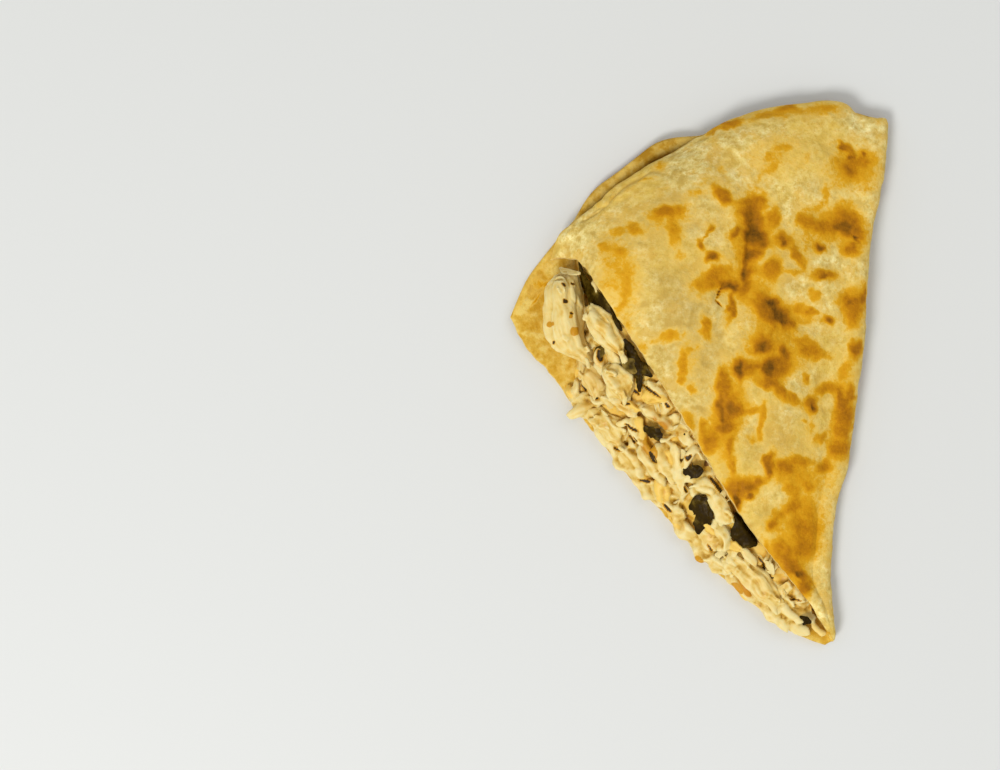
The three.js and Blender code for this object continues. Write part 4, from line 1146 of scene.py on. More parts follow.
def tornLift(places, fibre, look):
    # how far each place stands out: crumples, streaks along the fibres, and splits between them
    crumple = 0.7 - 2 * np.abs(softNoise(places, 3.1, 61)) + 0.5 * softNoise(places, 1.3, 62)
    streak = 0.55 - 1.7 * np.abs(softNoise(fibre, 2.3, 64)) + 0.8 * np.abs(softNoise(fibre, 0.95, 65)) - 0.25
    split = np.clip(1 - np.abs(softNoise(fibre, 1.9, 66)) / 0.11, 0, 1)
    split *= smoothStep(0.1, 0.6, softNoise(places, 4.0, 67))
    return look["crumple"] * crumple + look["streak"] * streak - look["split"] * split


def spotAt(places, normals, look, spots):
    # 1 inside a fleck or slit that faces up, 0 away from them; a slit's dark colour is painted shadow
    warp = 0.35 * softNoise(places, 1.1, 70)
    spot = np.zeros(len(places))
    for depth, reach in marksAt(places[:, 0] + warp, places[:, 1] - warp, spots):
        spot = np.maximum(spot, depth * np.exp(-(reach ** look["spotEdge"])) * (normals[:, 2] > 0.05))
    return spot


def hollowAt(places, normals, edges):
    # near 1 down between the shreds and near 0 on top of them; the material darkens the colour with it, as
    # painted shade
    near = evened(places, edges, 3)
    wide = evened(near, edges, 12)
    hollow = ((near - places) * normals).sum(axis=1) / 0.11 + ((wide - places) * normals).sum(axis=1) / 0.4
    return np.clip(0.5 + 0.25 * hollow, 0, 1)


def grownTogether(name, pile, look, spots=()):
    # overlapping lumps grow into one skin; it then gets the crumple, streaks and splits of torn meat
    points = np.concatenate(pile["points"])
    uneven = np.stack([softNoise(points, 2.4, seed) for seed in (73, 74, 75)], axis=1)
    points = points + look["uneven"] * uneven * np.array([1, 1, 0.4])
    mesh = remeshed(name, points, pile["faces"], look)
    places, normals, edges = meshArrays(mesh)
    nearest = nearestOf(points, places)
    fibre = np.concatenate(pile["fibre"])[nearest]
    within = np.abs(fibre[edges[:, 0]] - fibre[edges[:, 1]]).max(axis=1) < 2.5  # both ends on one piece
    fibre = evened(fibre, edges[within], 8)
    fibre[:, 1] += 0.7 * softNoise(places, 3.0, 68)
    fibre[:, 2] += 0.7 * softNoise(places, 3.0, 69)
    tint = evened(np.concatenate(pile["tint"])[nearest], edges, 3)
    spot = spotAt(places, normals, look, spots)
    lift = tornLift(places, fibre, look) - look["pit"] * smoothStep(0.5, 0.9, spot)
    places = pressBetween(evened(places + normals * lift[:, None], edges, look["finish"]))
    mesh.vertices.foreach_set("co", (moved(places) * mm).astype(np.float32).ravel())
    mesh.update()
    finishMesh(mesh, {"fibre": fibre, "tint": tint, "hollow": hollowAt(places, normals, edges), "spot": spot})
    print(name, len(mesh.polygons), "faces")
    return inScene(name, mesh)


def dressed(piece, material, nodes):
    piece.data.materials.clear()
    piece.data.materials.append(material)
    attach(piece, "root")
    if nodes:
        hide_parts(*nodes)
    return piece


chickenPieces = {  # a run is: share of the length, middle, half width
    "chicken_chunk": {
        "x": -31.9, "y": 12.2, "z": 7.0, "long": 24.0, "tall": 9.8, "turn": -74, "lean": 0, "bundles": 8,
        "run": [
            (-1, 1.6, 2.6), (-0.85, 1.4, 3.6), (-0.55, 0.6, 4.5), (-0.1, -1.1, 4.7), (0.2, -1.6, 4.3),
            (0.5, -0.6, 3.4), (0.7, 1.1, 2.3), (0.9, 2.1, 1.8), (1, 2.6, 1.0),
        ],
        "sides": (16, 26), "torn": 0.1, "blunt": 7, "tint": 0.55, "seed": 5, "rags": 4,
        "look": {"crumple": 0.08, "uneven": 0.4, "streak": 0.2},
        "spots": [  # dark flecks and fried spots: x, y, half length, half width, turn, depth
            (-33.0, 17.0, 0.65, 0.55, 0, 1), (-31.4, 14.0, 0.45, 0.4, 0, 0.8),
            (-35.6, 7.4, 0.45, 0.3, 40, 0.9), (-31.1, 21.0, 0.45, 0.3, -20, 0.9),
            (-33.2, 20.8, 0.4, 0.35, 0, 0.8), (-30.7, 10.0, 1.2, 0.9, 70, 0.55),
            (-36.3, 11.6, 0.9, 0.7, 20, 0.5), (-31.6, 13.3, 0.6, 0.4, 0, 0.45),
        ],
    },
    "chicken_slice": {
        "x": -23.6, "y": 9.6, "lift": 1.3, "long": 15.8, "tall": 4.0, "turn": -49, "lean": 0.5, "bundles": 5,
        "run": [
            (-1, 1.4, 0.6), (-0.85, 0.9, 1.5), (-0.6, 0.5, 2.3), (-0.3, 0.35, 2.9), (0.05, 0.25, 2.6),
            (0.35, 0.15, 2.1), (0.7, 0.1, 1.3), (1, -0.3, 0.5),
        ],
        "sides": (12, 20), "torn": 0.15, "tint": 0.4, "seed": 12, "rags": 3,
        "look": {"uneven": 0.5},
    },
    "chicken_lump": {
        "x": -20.4, "y": -1.6, "lift": 0.6, "long": 10.8, "tall": 6.4, "turn": -62, "lean": 0.6, "bundles": 6,
        "run": [
            (-1, 0, 1.9), (-0.75, 0, 2.6), (-0.4, 0.1, 3.1), (0, 0.1, 3.4), (0.45, -0.3, 3.2),
            (0.8, -0.2, 2.4), (1, -0.3, 1.2),
        ],
        "sides": (12, 16), "torn": 0.3, "blunt": 6, "tint": 0.25, "seed": 23, "rags": 8,
    },
    "chicken_block": {
        "x": -26.2, "y": -1.6, "lift": 0.5, "long": 7.6, "tall": 5.0, "turn": -55, "lean": 0.6, "bundles": 4,
        "run": [
            (-1, 0.2, 1.6), (-0.6, 0.2, 2.5), (0, 0.1, 2.7), (0.5, 0, 2.5), (0.85, -0.2, 1.8),
            (1, -0.3, 1.0),
        ],
        "sides": (12, 14), "torn": 0.2, "blunt": 6, "tint": -0.6, "seed": 31, "rags": 4,
        "look": {"crumple": 0.12},
    },
    "chicken_slab": {
        "x": -22.3, "y": -12.0, "lift": 0.7, "long": 13.4, "tall": 3.8, "turn": -35, "lean": 0.7,
        "bundles": 7,
        "run": [
            (-1, -0.9, 0.9), (-0.65, -1.0, 1.9), (-0.35, -0.5, 2.8), (0, -0.4, 3.5), (0.45, -0.6, 3.7),
            (0.8, -1.0, 3.0), (1, -1.4, 1.7),
        ],
        "sides": (11, 16), "torn": 0.3, "tint": 0.05, "seed": 44, "rags": 8,
    },
    "chicken_ridge": {
        "x": 12.2, "y": -49.4, "lift": 0.5, "long": 21.4, "tall": 4.4, "turn": -46, "lean": 0.7, "bundles": 7,
        "run": [
            (-1, -0.6, 1.6), (-0.7, -0.2, 2.7), (-0.35, 0, 2.9), (0, 0, 3.2), (0.4, -0.2, 2.9),
            (0.7, -0.3, 2.4), (1, -0.5, 1.3),
        ],
        "sides": (11, 22), "torn": 0.3, "bend": -0.8, "tint": 0.1, "seed": 57, "rags": 8,
        "look": {"uneven": 0.5, "streak": 0.32},
    },
}
pieceLook = {
    "cell": 0.22, "soften": 3, "uneven": 1.1, "crumple": 0.2, "streak": 0.26, "split": 0.2, "finish": 1,
    "pit": 0, "spotEdge": 6,
}


def addRags(pile, spec, pick, count):
    # flaps and threads that part from a piece, mostly near its ends
    outline = outlineOf(spec)
    for _ in range(count):
        at = pick.choice((-1, 1)) * pick.uniform(0.25, 0.95)
        middle, half = (float(v) for v in outline(at))
        out = pick.uniform(-0.9, 0.9)
        rag = {
            "long": pick.uniform(1.6, 4.2), "wide": pick.uniform(0.8, 2.0), "tall": pick.uniform(0.5, 0.8),
            "bend": pick.uniform(-0.4, 0.4), "arch": pick.uniform(-0.4, 0.5), "curl": pick.uniform(-0.2, 0.5),
            "torn": 0.5,
        }
        points, faces = tornFlake(rag, pick)
        turn = np.array(Matrix.Rotation(math.radians(pick.gauss(0, 24)), 3, "Z"))
        tip = np.array(Matrix.Rotation(math.radians(pick.gauss(0, 14)), 3, "Y"))
        points = points @ tip.T @ turn.T
        height = spec["tall"] / 2 * math.sqrt(max(0.05, 1 - out**2))
        points += np.array([at * spec["long"] / 2, middle + out * half, height * pick.uniform(0.75, 1.0)])
        fibre = points * alongFibres + pile["offset"]
        addTo(pile, laidOn(bent(points, spec), spec), faces, fibre, spec["tint"] + 0.1)


# finishes of the filling
def makeCookedMeat():
    # pale where it stands out and golden brown in the hollows, which is painted shade; cheese is golden
    # wherever the tint puts it
    material, tree, shader = newMaterial("cookedChicken")
    place = objectPlace(tree)
    streaks = addGrain(tree, addAttribute(tree, "fibre", "Vector"), 0.8, 3.2, 0.3)
    flesh = addGrain(tree, place, 240, 1500, 0.3)
    tint = addAttribute(tree, "tint")
    spot = addAttribute(tree, "spot")
    # the hollow value darkens the colour: painted shade between the shreds
    shade = addMath(tree, "MULTIPLY_ADD", streaks["Cloud"], 0.35, addAttribute(tree, "hollow"))
    shade = addMath(tree, "MULTIPLY_ADD", flesh["Cloud"], 0.5, shade)
    shade = addMath(tree, "MULTIPLY_ADD", tint, -0.12, shade)
    colour = addRamp(tree, addMath(tree, "SUBTRACT", shade, 0.45), [
        (0.22, srgb(223, 204, 140)),
        (0.42, srgb(219, 192, 115)),
        (0.57, srgb(207, 172, 83)),
        (0.74, srgb(186, 142, 46)),
        (0.92, srgb(150, 108, 20)),
    ])
    melted = addRamp(tree, addMath(tree, "SUBTRACT", shade, 0.45), [
        (0.25, srgb(226, 188, 88)),
        (0.50, srgb(210, 162, 54)),
        (0.70, srgb(174, 122, 18)),
        (0.90, srgb(108, 68, 2)),
    ])
    cheese = addFade(tree, addMath(tree, "MULTIPLY", tint, 0.5), 0.36, 0.6)
    cloudy = addFade(tree, flesh["Cloud"], 0.54, 0.68, 0.55)
    colour = addMix(tree, addMath(tree, "MAXIMUM", cheese, cloudy), colour, melted)
    pink = addMath(tree, "MULTIPLY", tint, -0.6, clampIt=True)
    colour = addMix(tree, addMath(tree, "MULTIPLY", pink, 0.55), colour, srgb(210, 168, 96))
    browned = addFade(tree, addMath(tree, "MULTIPLY", tint, -0.4), 0.5, 0.75)
    colour = addMix(tree, browned, colour, srgb(186, 126, 14))
    # flecks and fried spots on the chunk are real; in the bed's slits this brown and the near black below are
    # painted shadow
    scorchedAndGapShade = addFade(tree, spot, 0.1, 0.3)
    colour = addMix(tree, scorchedAndGapShade, colour, srgb(194, 138, 22))
    pepperAndGapShade = addFade(tree, spot, 0.6, 0.8)
    colour = addMix(tree, pepperAndGapShade, colour, srgb(56, 38, 2))
    tree.links.new(colour, shader.inputs["Base Color"])
    setRoughness(tree, shader, flesh["Cloud"], 0.34, 0.56)
    height = addMath(tree, "MULTIPLY_ADD", streaks["Height"], 0.7, flesh["Height"])
    setBump(tree, shader, height, 0.4, 0.0004)
    setFlesh(shader, 0.12, (0.0016, 0.001, 0.0006), 0.22)
    return material


def makeCheesyCore():
    # the imported inside, juicy golden cheese with painted shade making it deep brown, seen where a gap lets
    # it be seen
    material, tree, shader = newMaterial("shadedCheeseCore")
    place = objectPlace(tree)
    packed = addGrain(tree, place, 300, 1300, 0.4)
    colour = addRamp(tree, packed["Cloud"], [
        (0.35, srgb(110, 68, 4)),
        (0.5, srgb(160, 108, 18)),
        (0.68, srgb(206, 158, 60)),
    ])
    tree.links.new(colour, shader.inputs["Base Color"])
    setRoughness(tree, shader, packed["Cloud"], 0.35, 0.55)
    setBump(tree, shader, packed["Height"], 0.5, 0.0005)
    shader.inputs["Specular IOR Level"].default_value = 0.3
    return material


def makeWiltedLeaf():
    # cooked spinach is nearly black, olive where the light comes through it
    material, tree, shader = newMaterial("wiltedSpinach")
    place = objectPlace(tree)
    leaf = addGrain(tree, place, 380, 1500, 0.6)
    light = addMath(tree, "MULTIPLY_ADD", addAttribute(tree, "olive"), 0.3, leaf["Cloud"])
    colour = addRamp(tree, light, [
        (0.42, srgb(38, 25, 0)),
        (0.60, srgb(52, 37, 1)),
        (0.78, srgb(104, 84, 28)),
        (0.95, srgb(136, 112, 50)),
    ])
    tree.links.new(colour, shader.inputs["Base Color"])
    setRoughness(tree, shader, leaf["Cloud"], 0.2, 0.5)
    setBump(tree, shader, leaf["Height"], 0.5, 0.0004)
    shader.inputs["Specular IOR Level"].default_value = 0.05
    return material


cookedMeat = makeCookedMeat()
shadedCheeseCore = makeCheesyCore()
wiltedLeaf = makeWiltedLeaf()

for nodeName, spec in chickenPieces.items():
    pick = random.Random(spec["seed"])
    pile = newPile()
    addMeat(pile, spec, pick)
    addRags(pile, spec, pick, spec["rags"])
    words = nodeName.split("_")
    look = dict(pieceLook, **spec.get("look", {}))
    piece = grownTogether(words[0] + words[1].title() + "Torn", pile, look, spec.get("spots", ()))
    dressed(piece, cookedMeat, [nodeName])
print("chicken pieces")


# the bed of shreds
bed = {
    "core": {  # deep: how far it reaches in, here as far as the fold
        "along": (0.05, 0.955), "rows": 120, "faceColumns": 30, "sideColumns": 14,
        "deep": 999, "sunk": 2.6, "lumps": 0.3,
    },
    "strip": {
        "along": (0.05, 0.955), "rows": 190, "faceColumns": 40, "sideColumns": 8,
        "deep": 4.5, "sunk": 1.3, "lumps": 0.5,
    },
    "look": {
        "cell": 0.32, "soften": 2, "uneven": 0.65, "crumple": 0.24, "streak": 0.17, "split": 0.16,
        "finish": 1, "pit": 0.3, "spotEdge": 10,
    },
    "gaps": [  # slits between the shreds, sunk a little and painted near black as shadow: x, y, half length, half width, turn, depth
        (2.9, -26.6, 3.8, 0.5, -51, 1), (-16.9, -15.4, 1.4, 0.45, -50, 1), (-12.4, -19.6, 1.9, 0.5, -62, 1),
        (-13.2, -4.0, 2.9, 0.35, -35, 0.9), (-26.0, -5.2, 1.7, 0.5, -48, 1),
        (-17.0, -3.9, 1.7, 0.4, -35, 0.9), (-28.4, -2.3, 2.1, 0.5, -72, 1),
        (14.5, -46.1, 3.6, 0.36, -61, 1), (11.1, -46.0, 3.9, 0.28, -54, 0.8),
        (-8.5, -32.0, 1.6, 0.45, -42, 0.8), (-17.2, -12.8, 1.7, 0.4, -29, 1),
        (-22.7, -10.2, 0.8, 0.35, 20, 1), (-12.9, -17.4, 3.0, 1.2, -65, 0.5),
        (-9.3, -7.4, 0.9, 0.45, -45, 1), (-18.7, -7.1, 1.2, 0.35, -10, 0.9), (-4.1, -19.6, 0.9, 0.5, 50, 1),
        (-13.8, -25.5, 1.7, 0.35, -10, 0.9), (21.9, -53.6, 1.4, 0.32, -5, 0.9),
        (28.7, -59.8, 0.9, 0.6, 60, 0.5), (8.4, -51.0, 1.7, 1.0, -50, 0.45),
        (-4.6, -27.2, 1.2, 0.35, -60, 0.9), (-20.3, -17.9, 1.3, 0.35, -35, 0.8),
        (1.6, -41.5, 1.4, 0.3, -50, 0.8), (-0.6, -44.6, 1.6, 0.8, -45, 0.45),
        (-24.9, 4.3, 1.7, 0.9, -75, 1), (-22.6, -2.8, 2.2, 0.35, -62, 0.9),
    ],
    "rim": {  # lumps that hang over the lower cut edge
        "count": 24, "span": (0.1, 0.79), "near": (0.6, 1.7), "long": (4.5, 8.5), "wide": (2.2, 3.8),
        "tall": (1.8, 2.8), "turn": (-72, -26), "lift": (0.2, 0.8), "lean": 0.3, "curve": (-0.2, 0.3),
        "tints": (-0.3, 0.1, 0.4, 1.2),
    },
    "seed": 3,
    "lean": 0.75,  # share of the face's slope that cheese and browned bits take
    "cheeseTint": 1.5,
    "brownTint": -2.2,
    "shreds": [  # x, y, long, wide, tall, turn, lift, lean, arch, tint
        (-28.3, -8.4, 9.3, 3.4, 3.0, 20, 0.9, 0.2, 0.3, -0.2),
        (-28.7, -5.9, 6.0, 2.9, 2.4, 22, 0.9, 0.2, 0.0, 0.3),
        (-30.1, -3.0, 4.8, 1.7, 1.9, -76, 0.8, 0.0, 0.2, 0.0),
        (-11.6, -5.4, 10.2, 5.0, 2.8, -44, 0.2, 0.75, 0.3, 0.5),
        (-3.7, -19.8, 6.5, 1.6, 1.8, 63, 1.1, 0.75, 0.8, 0.3),
        (-1.2, -19.2, 4.8, 1.6, 1.8, -60, 1.0, 0.75, 0.3, 0.2),
        (-6.4, -22.7, 13.8, 2.4, 2.2, -85, 1.3, 0.75, 0.3, 0.8),
        (-0.2, -26.5, 5.6, 3.6, 3.2, -6, 0.8, 0.75, 0.0, 0.1),
        (3.8, -31.2, 10.2, 3.8, 3.2, -53, 0.6, 0.75, 0.3, 0.2),
        (4.1, -38.1, 8.8, 3.0, 3.0, -68, 0.6, 0.75, 0.2, 0.1),
        (1.3, -39.4, 7.2, 3.8, 3.0, -45, 0.4, 0.75, 0.0, -0.2),
        (-12.1, -21.3, 11.6, 4.6, 3.2, -56, 0.4, 0.75, 0.2, 0.0),
        (-9.6, -20.3, 10.0, 3.2, 2.8, -65, 0.8, 0.75, 0.2, -0.1),
        (-16.8, -21.0, 10.6, 4.2, 2.8, -58, 0.5, 0.75, 0.4, 0.0),
        (-10.5, -28.4, 9.4, 3.0, 2.4, -42, 0.6, 0.75, 0.2, -0.1),
        (-6.6, -32.3, 8.0, 2.9, 2.4, -18, 0.6, 0.75, 0.2, -0.3),
        (-4.3, -37.0, 8.4, 3.2, 2.6, -38, 0.7, 0.75, 0.2, 0.0),
        (-12.7, -9.1, 7.2, 3.2, 2.6, -32, 0.4, 0.75, 0.2, -0.2),
        (-9.0, -11.4, 5.2, 2.4, 2.2, -51, 0.5, 0.75, 0.1, -0.4),
        (-18.4, -7.8, 7.4, 2.8, 2.4, -20, 0.5, 0.75, 0.3, -0.3),
        (-15.9, -14.0, 8.8, 2.3, 2.0, -59, 0.9, 0.75, 0.5, 0.2),
        (-8.6, -22.4, 9.4, 1.9, 2.2, -75, 0.9, 0.75, 0.2, -0.1),
        (-25.2, -5.8, 4.4, 2.4, 2.2, -16, 0.3, 0.75, 0.1, 0.1),
        (-8.9, -15.2, 4.4, 1.5, 1.7, 12, 1.0, 0.75, 0.5, 0.3),
        (4.3, -45.2, 7.4, 3.8, 2.8, -42, 0.5, 0.75, 0.2, 0.0),
        (-0.3, -41.2, 7.4, 2.9, 2.4, -36, 0.5, 0.75, 0.2, -0.1),
        (19.7, -56.4, 9.4, 3.4, 2.2, -38, 0.3, 0.75, 0.1, 0.1),
        (25.0, -57.4, 6.4, 2.4, 1.3, -28, 0.0, 0.75, 0.0, 0.0),
        (10.2, -43.0, 7.2, 2.3, 2.2, -49, 0.7, 0.75, 0.2, -0.2),
        (15.0, -54.6, 6.8, 3.0, 2.2, -48, 0.3, 0.75, 0.1, 0.0),
        (-21.8, 4.6, 6.6, 3.2, 2.8, -44, 0.2, 0.75, 0.1, 0.1),
        (-25.0, 3.6, 6.0, 2.2, 2.2, -80, 0.2, 0.75, 0.1, -0.5),
        (-13.3, -18.3, 5.8, 1.7, 1.4, -60, 0.9, 0.75, 0.2, -0.9),
        (-3.2, -23.6, 5.6, 3.0, 1.6, -28, 0.6, 0.75, 0.1, -0.1),
        (-31.9, 24.2, 6.5, 1.5, 1.3, -18, 8.4, 0.0, 0.3, 0.4),
        (-28.5, 17.3, 7.7, 1.2, 1.3, -80, 2.4, 0.2, 0.3, 0.5),
        (-25.9, 19.8, 4.7, 1.4, 1.2, -63, 0.6, 0.5, 0.1, -0.5),
        (-20.5, -6.5, 4.2, 1.2, 1.2, 25, 1.0, 0.75, 0.3, 0.4),
        (-22.9, -9.8, 4.3, 1.2, 1.2, -36, 1.1, 0.75, 0.2, 0.2),
        (-19.2, -11.6, 3.7, 1.3, 1.2, 25, 1.3, 0.75, 0.3, 0.4),
        (-2.3, -28.3, 4.1, 1.7, 1.6, -50, 1.0, 0.75, 0.1, 0.1),
        (-5.9, -32.0, 3.6, 1.6, 1.4, -30, 1.2, 0.75, 0.2, 0.2),
        (-10.2, -28.9, 3.8, 1.6, 1.4, -48, 1.2, 0.75, 0.2, 0.1),
        (7.3, -45.1, 5.3, 1.7, 1.6, -53, 1.0, 0.75, 0.2, 0.3),
        (27.8, -60.6, 4.6, 2.2, 0.9, -38, 0.1, 0.4, 0.0, 1.0),
        (23.0, -60.6, 5.6, 2.4, 1.1, -30, 0.1, 0.5, 0.1, 0.3),
        (4.6, -44.8, 3.7, 1.4, 1.4, -34, 1.3, 0.75, 0.2, 0.2),
        (19.9, -53.0, 5.9, 1.4, 1.3, -52, 0.7, 0.75, 0.1, 0.2),
        (17.6, -53.5, 5.2, 1.4, 1.3, -45, 0.7, 0.75, 0.1, 0.0),
        (10.1, -48.5, 8.1, 1.7, 1.6, -49, 1.3, 0.75, 0.2, 0.2),
    ],
    "melted": [  # pools of cheese: the same, as far as the lift
        (-17.0, -7.6, 4.6, 2.2, 1.6, -43, 0.9), (-12.8, -5.3, 6.2, 2.8, 1.8, 0, 0.9),
        (-15.2, -13.2, 7.3, 2.4, 1.8, -75, 0.8), (-9.9, -27.6, 7.5, 3.0, 2.0, -72, 0.8),
        (-8.3, -19.7, 3.8, 2.2, 1.6, -74, 0.8), (-6.0, -36.0, 3.8, 3.0, 2.0, -46, 0.8),
        (-13.8, -25.6, 5.0, 2.6, 1.8, -55, 0.6), (1.0, -36.0, 4.4, 2.6, 1.8, -50, 0.8),
        (-19.5, -16.8, 4.6, 2.6, 1.8, -50, 0.5), (7.6, -41.0, 4.0, 2.2, 1.6, -50, 0.8),
    ],
    "browned": [  # bits with a fried skin
        (-9.5, -11.7, 3.6, 1.9, 1.2, -44, 1.2), (-12.0, -10.1, 2.4, 1.1, 0.9, -27, 1.3),
        (-13.8, -17.3, 5.5, 1.5, 1.2, -60, 1.0), (10.1, -50.6, 5.8, 1.4, 1.2, -57, 1.6),
    ],
}


def buildCore(spec):
    # what lies under the shreds: the two sheets close it and its open face is lumpy
    share = np.linspace(0, 1, spec["faceColumns"])
    inward = np.linspace(0, 1, spec["sideColumns"])
    first, last = spec["along"]
    along = np.linspace(first, last, spec["rows"])
    fold = planLine(sheet["foldLine"], along)
    cut = planLine(sheet["upperCut"], along)
    width = np.hypot(cut[0] - fold[0], cut[1] - fold[1])
    reach = heapReach(along)
    deep = np.maximum(0.1, reach - spec["deep"] / width)[:, None]
    run = np.repeat(along, len(inward))
    foot = innerFloor((deep + (reach[:, None] - deep) * inward).ravel(), run).reshape(len(along), -1, 3)
    head = innerRoof((deep + (heap["head"] - deep) * inward).ravel(), run).reshape(len(along), -1, 3)
    foot[..., 2] += 0.2
    head[..., 2] -= 0.25
    face = heapFace(np.tile(share, len(along)), np.repeat(along, len(share))).reshape(len(along), -1, 3)
    inwards = (head[:, 0] + foot[:, 0] - face[:, 0] - face[:, -1]) / 2
    inwards[:, 2] = 0
    inwards /= np.linalg.norm(inwards, axis=1, keepdims=True)
    hollow = spec["sunk"] * (0.5 + 0.5 * np.sin(np.pi * share))
    face = face + inwards[:, None, :] * hollow[None, :, None]
    spots = face.reshape(-1, 3)
    tangle = layered(spots, (1, 3.4, 71), (0.5, 1.6, 72))
    away = np.array([-0.55, -0.4, 0.45]) * spec["lumps"]
    face = face + tangle.reshape(len(along), -1, 1) * away
    ring = np.concatenate([foot[:, :-1], face, head[:, ::-1][:, 1:]], axis=1)
    centre = (foot[:, foot.shape[1] // 2] + head[:, head.shape[1] // 2])[:, None] / 2
    openness = np.sqrt(np.clip(np.minimum(along - first, last - along) / first, 0, 1))[:, None, None]
    ring = mix(centre, ring, openness)
    points = np.concatenate([ring.reshape(-1, 3), ring[0].mean(axis=0)[None], ring[-1].mean(axis=0)[None]])
    faces = [tuple(reversed(side)) for side in tubeFaces(ring.shape[1], len(along))]
    return points, faces, face[6:-6, 4:-1]


points, faces, _ = buildCore(bed["core"])
fillingCore = meshFrom("fillingCore", moved(pressBetween(points)), faces)
dressed(fillingCore, shadedCheeseCore, ["filling"])


# wilted spinach
leaves = {
    "sides": (22, 40),
    "thick": 0.32,
    "wave": 0.42,
    "seed": 210,
    "olive": {"spinachOlive": 1.4, "spinachDeep": 0.8, "spinachArm": 0.3, "spinachLong": 0.3},
    "bands": {  # run: x, y, half width; node: what the leaf stands for
        "spinachLong": {
            "lift": 1.0, "node": "spinach_long", "run": [
                (-29.6, 26.4, 0.5), (-28.6, 22.7, 0.7), (-27.1, 19.7, 1.1), (-25.4, 16.7, 1.6),
                (-23.5, 15.3, 1.8), (-22.0, 12.9, 0.9), (-19.9, 9.9, 0.5),
            ],
        },
        "spinachUpper": {
            "lift": 1.1, "node": "spinach_upper", "run": [
                (-19.5, 8.0, 0.7), (-18.3, 6.2, 1.1), (-17.3, 3.9, 1.3), (-16.6, 1.8, 1.3),
                (-16.1, -0.5, 1.0), (-15.6, -4.3, 0.5),
            ],
        },
        "spinachArm": {
            "lift": 1.3, "run": [
                (-17.1, 2.2, 0.9), (-14.8, 1.1, 1.1), (-12.9, -0.8, 0.5),
            ],
        },
        "spinachOlive": {
            "lift": 1.5, "run": [
                (-20.2, 3.4, 0.6), (-18.9, 2.6, 1.3), (-17.7, 1.3, 1.4), (-16.6, 0.1, 0.7),
            ],
        },
        "spinachThree": {
            "lift": 1.3, "run": [
                (-14.4, -12.3, 0.6), (-13.1, -13.4, 1.2), (-11.7, -14.1, 1.3), (-10.3, -15.5, 0.6),
            ],
        },
        "spinachFive": {
            "lift": 1.5, "run": [
                (-5.1, -21.9, 0.9), (-3.7, -23.1, 1.7), (-2.1, -22.8, 1.6), (-1.4, -21.6, 0.9),
            ],
        },
        "spinachMiddle": {
            "lift": 1.9, "node": "spinach_middle", "run": [
                (-2.1, -28.5, 0.9), (-1.3, -30.5, 2.2), (-0.1, -33.1, 2.2), (-0.9, -35.6, 1.7),
                (-1.2, -38.1, 0.6),
            ],
        },
        "spinachLower": {
            "lift": 1.5, "node": "spinach_lower", "run": [
                (7.0, -32.5, 0.4), (8.0, -34.6, 1.7), (8.8, -37.3, 2.6), (10.2, -38.7, 2.4),
                (12.4, -40.4, 0.7),
            ],
        },
        "spinachTip": {
            "lift": 1.4, "run": [
                (22.9, -57.8, 0.6), (24.3, -58.6, 1.0), (25.8, -59.1, 0.5),
            ],
        },
        # a dark leaf sheet that fills the black hole between the chunk and the lump, standing in as painted
        # shade
        "spinachDeep": {
            "lift": 0.4, "run": [
                (-26.0, 5.6, 0.9), (-25.1, 5.3, 1.3), (-24.8, 3.7, 0.7),
            ],
        },
    },
}


def leafBand(band, seed):
    # a limp leaf along a run of plan points: crinkled, thin, with a ragged rim
    across, along = leaves["sides"]
    run = band["run"]
    knots = np.concatenate([[0], np.cumsum([math.dist(a[:2], b[:2]) for a, b in zip(run, run[1:])])])
    data = np.array(run)
    v = (1 - np.cos(np.linspace(0, math.pi, along))) / 2 * knots[-1]
    line = np.stack([runThrough(knots, data[:, i], v) for i in range(3)], axis=1)
    ahead = np.gradient(line[:, :2], axis=0)
    ahead /= np.linalg.norm(ahead, axis=1, keepdims=True)
    side = np.stack([-ahead[:, 1], ahead[:, 0]], axis=1)
    rows = []
    for k in range(along):
        q = np.linspace(-1, 1, across)
        opening = math.sin(math.pi * k / (along - 1)) ** 0.35 if 0 < k < along - 1 else 0.03
        spots = np.stack([np.full(across, v[k]), q * 2, np.zeros(across)], axis=1)
        ragged = 1 + layered(spots, (0.4, 1.4, seed), (0.3, 0.6, seed + 4))
        half = line[k, 2] * opening
        plan = line[k, :2] + side[k] * (q * half * ragged)[:, None]
        rows.append(np.column_stack([plan, np.full(across, v[k]), q]))
    grid = np.concatenate(rows)
    ground = np.array([onFace(x, y)[0] for x, y in grid[:, :2]])
    spots = np.column_stack([grid[:, :2], np.zeros(len(grid))])
    crease = layered(spots, (1, 2.1, seed + 1), (0.35, 0.5, seed + 3))
    crease = leaves["wave"] * (crease + 0.5 * np.abs(softNoise(spots, 1.0, seed + 2)))
    height = ground + band["lift"] + crease
    half = leaves["thick"] / 2 * np.sqrt(np.clip(1.02 - grid[:, 3] ** 2, 0.02, 1))
    top = np.column_stack([grid[:, :2], height + half])
    under = np.column_stack([grid[:, :2], height - half])
    return np.concatenate([top, under]), slabFaces(across, along, (0, 3, 2, 1), (1, 0, 3, 2))


for k, (leafName, band) in enumerate(leaves["bands"].items()):
    seed = leaves["seed"] + 10 * k
    points, faces = leafBand(band, seed)
    thin = leaves["olive"].get(leafName, 0) * (0.8 + 0.5 * softNoise(points, 1.8, seed + 5))
    leaf = meshFrom(leafName, moved(pressBetween(points)), faces, {"olive": thin})
    turnOutwards(leaf)
    dressed(leaf, wiltedLeaf, [band["node"]] if "node" in band else [])
print("spinach")


# small bits strewn over the open face, by nodes
def addStep(tree, form, settings, inputs):
    node = tree.nodes.new(form)
    for label, value in settings.items():
        setattr(node, label, value)
    for socket, value in inputs.items():
        feed(tree, value, node.inputs[socket])
    return node.outputs


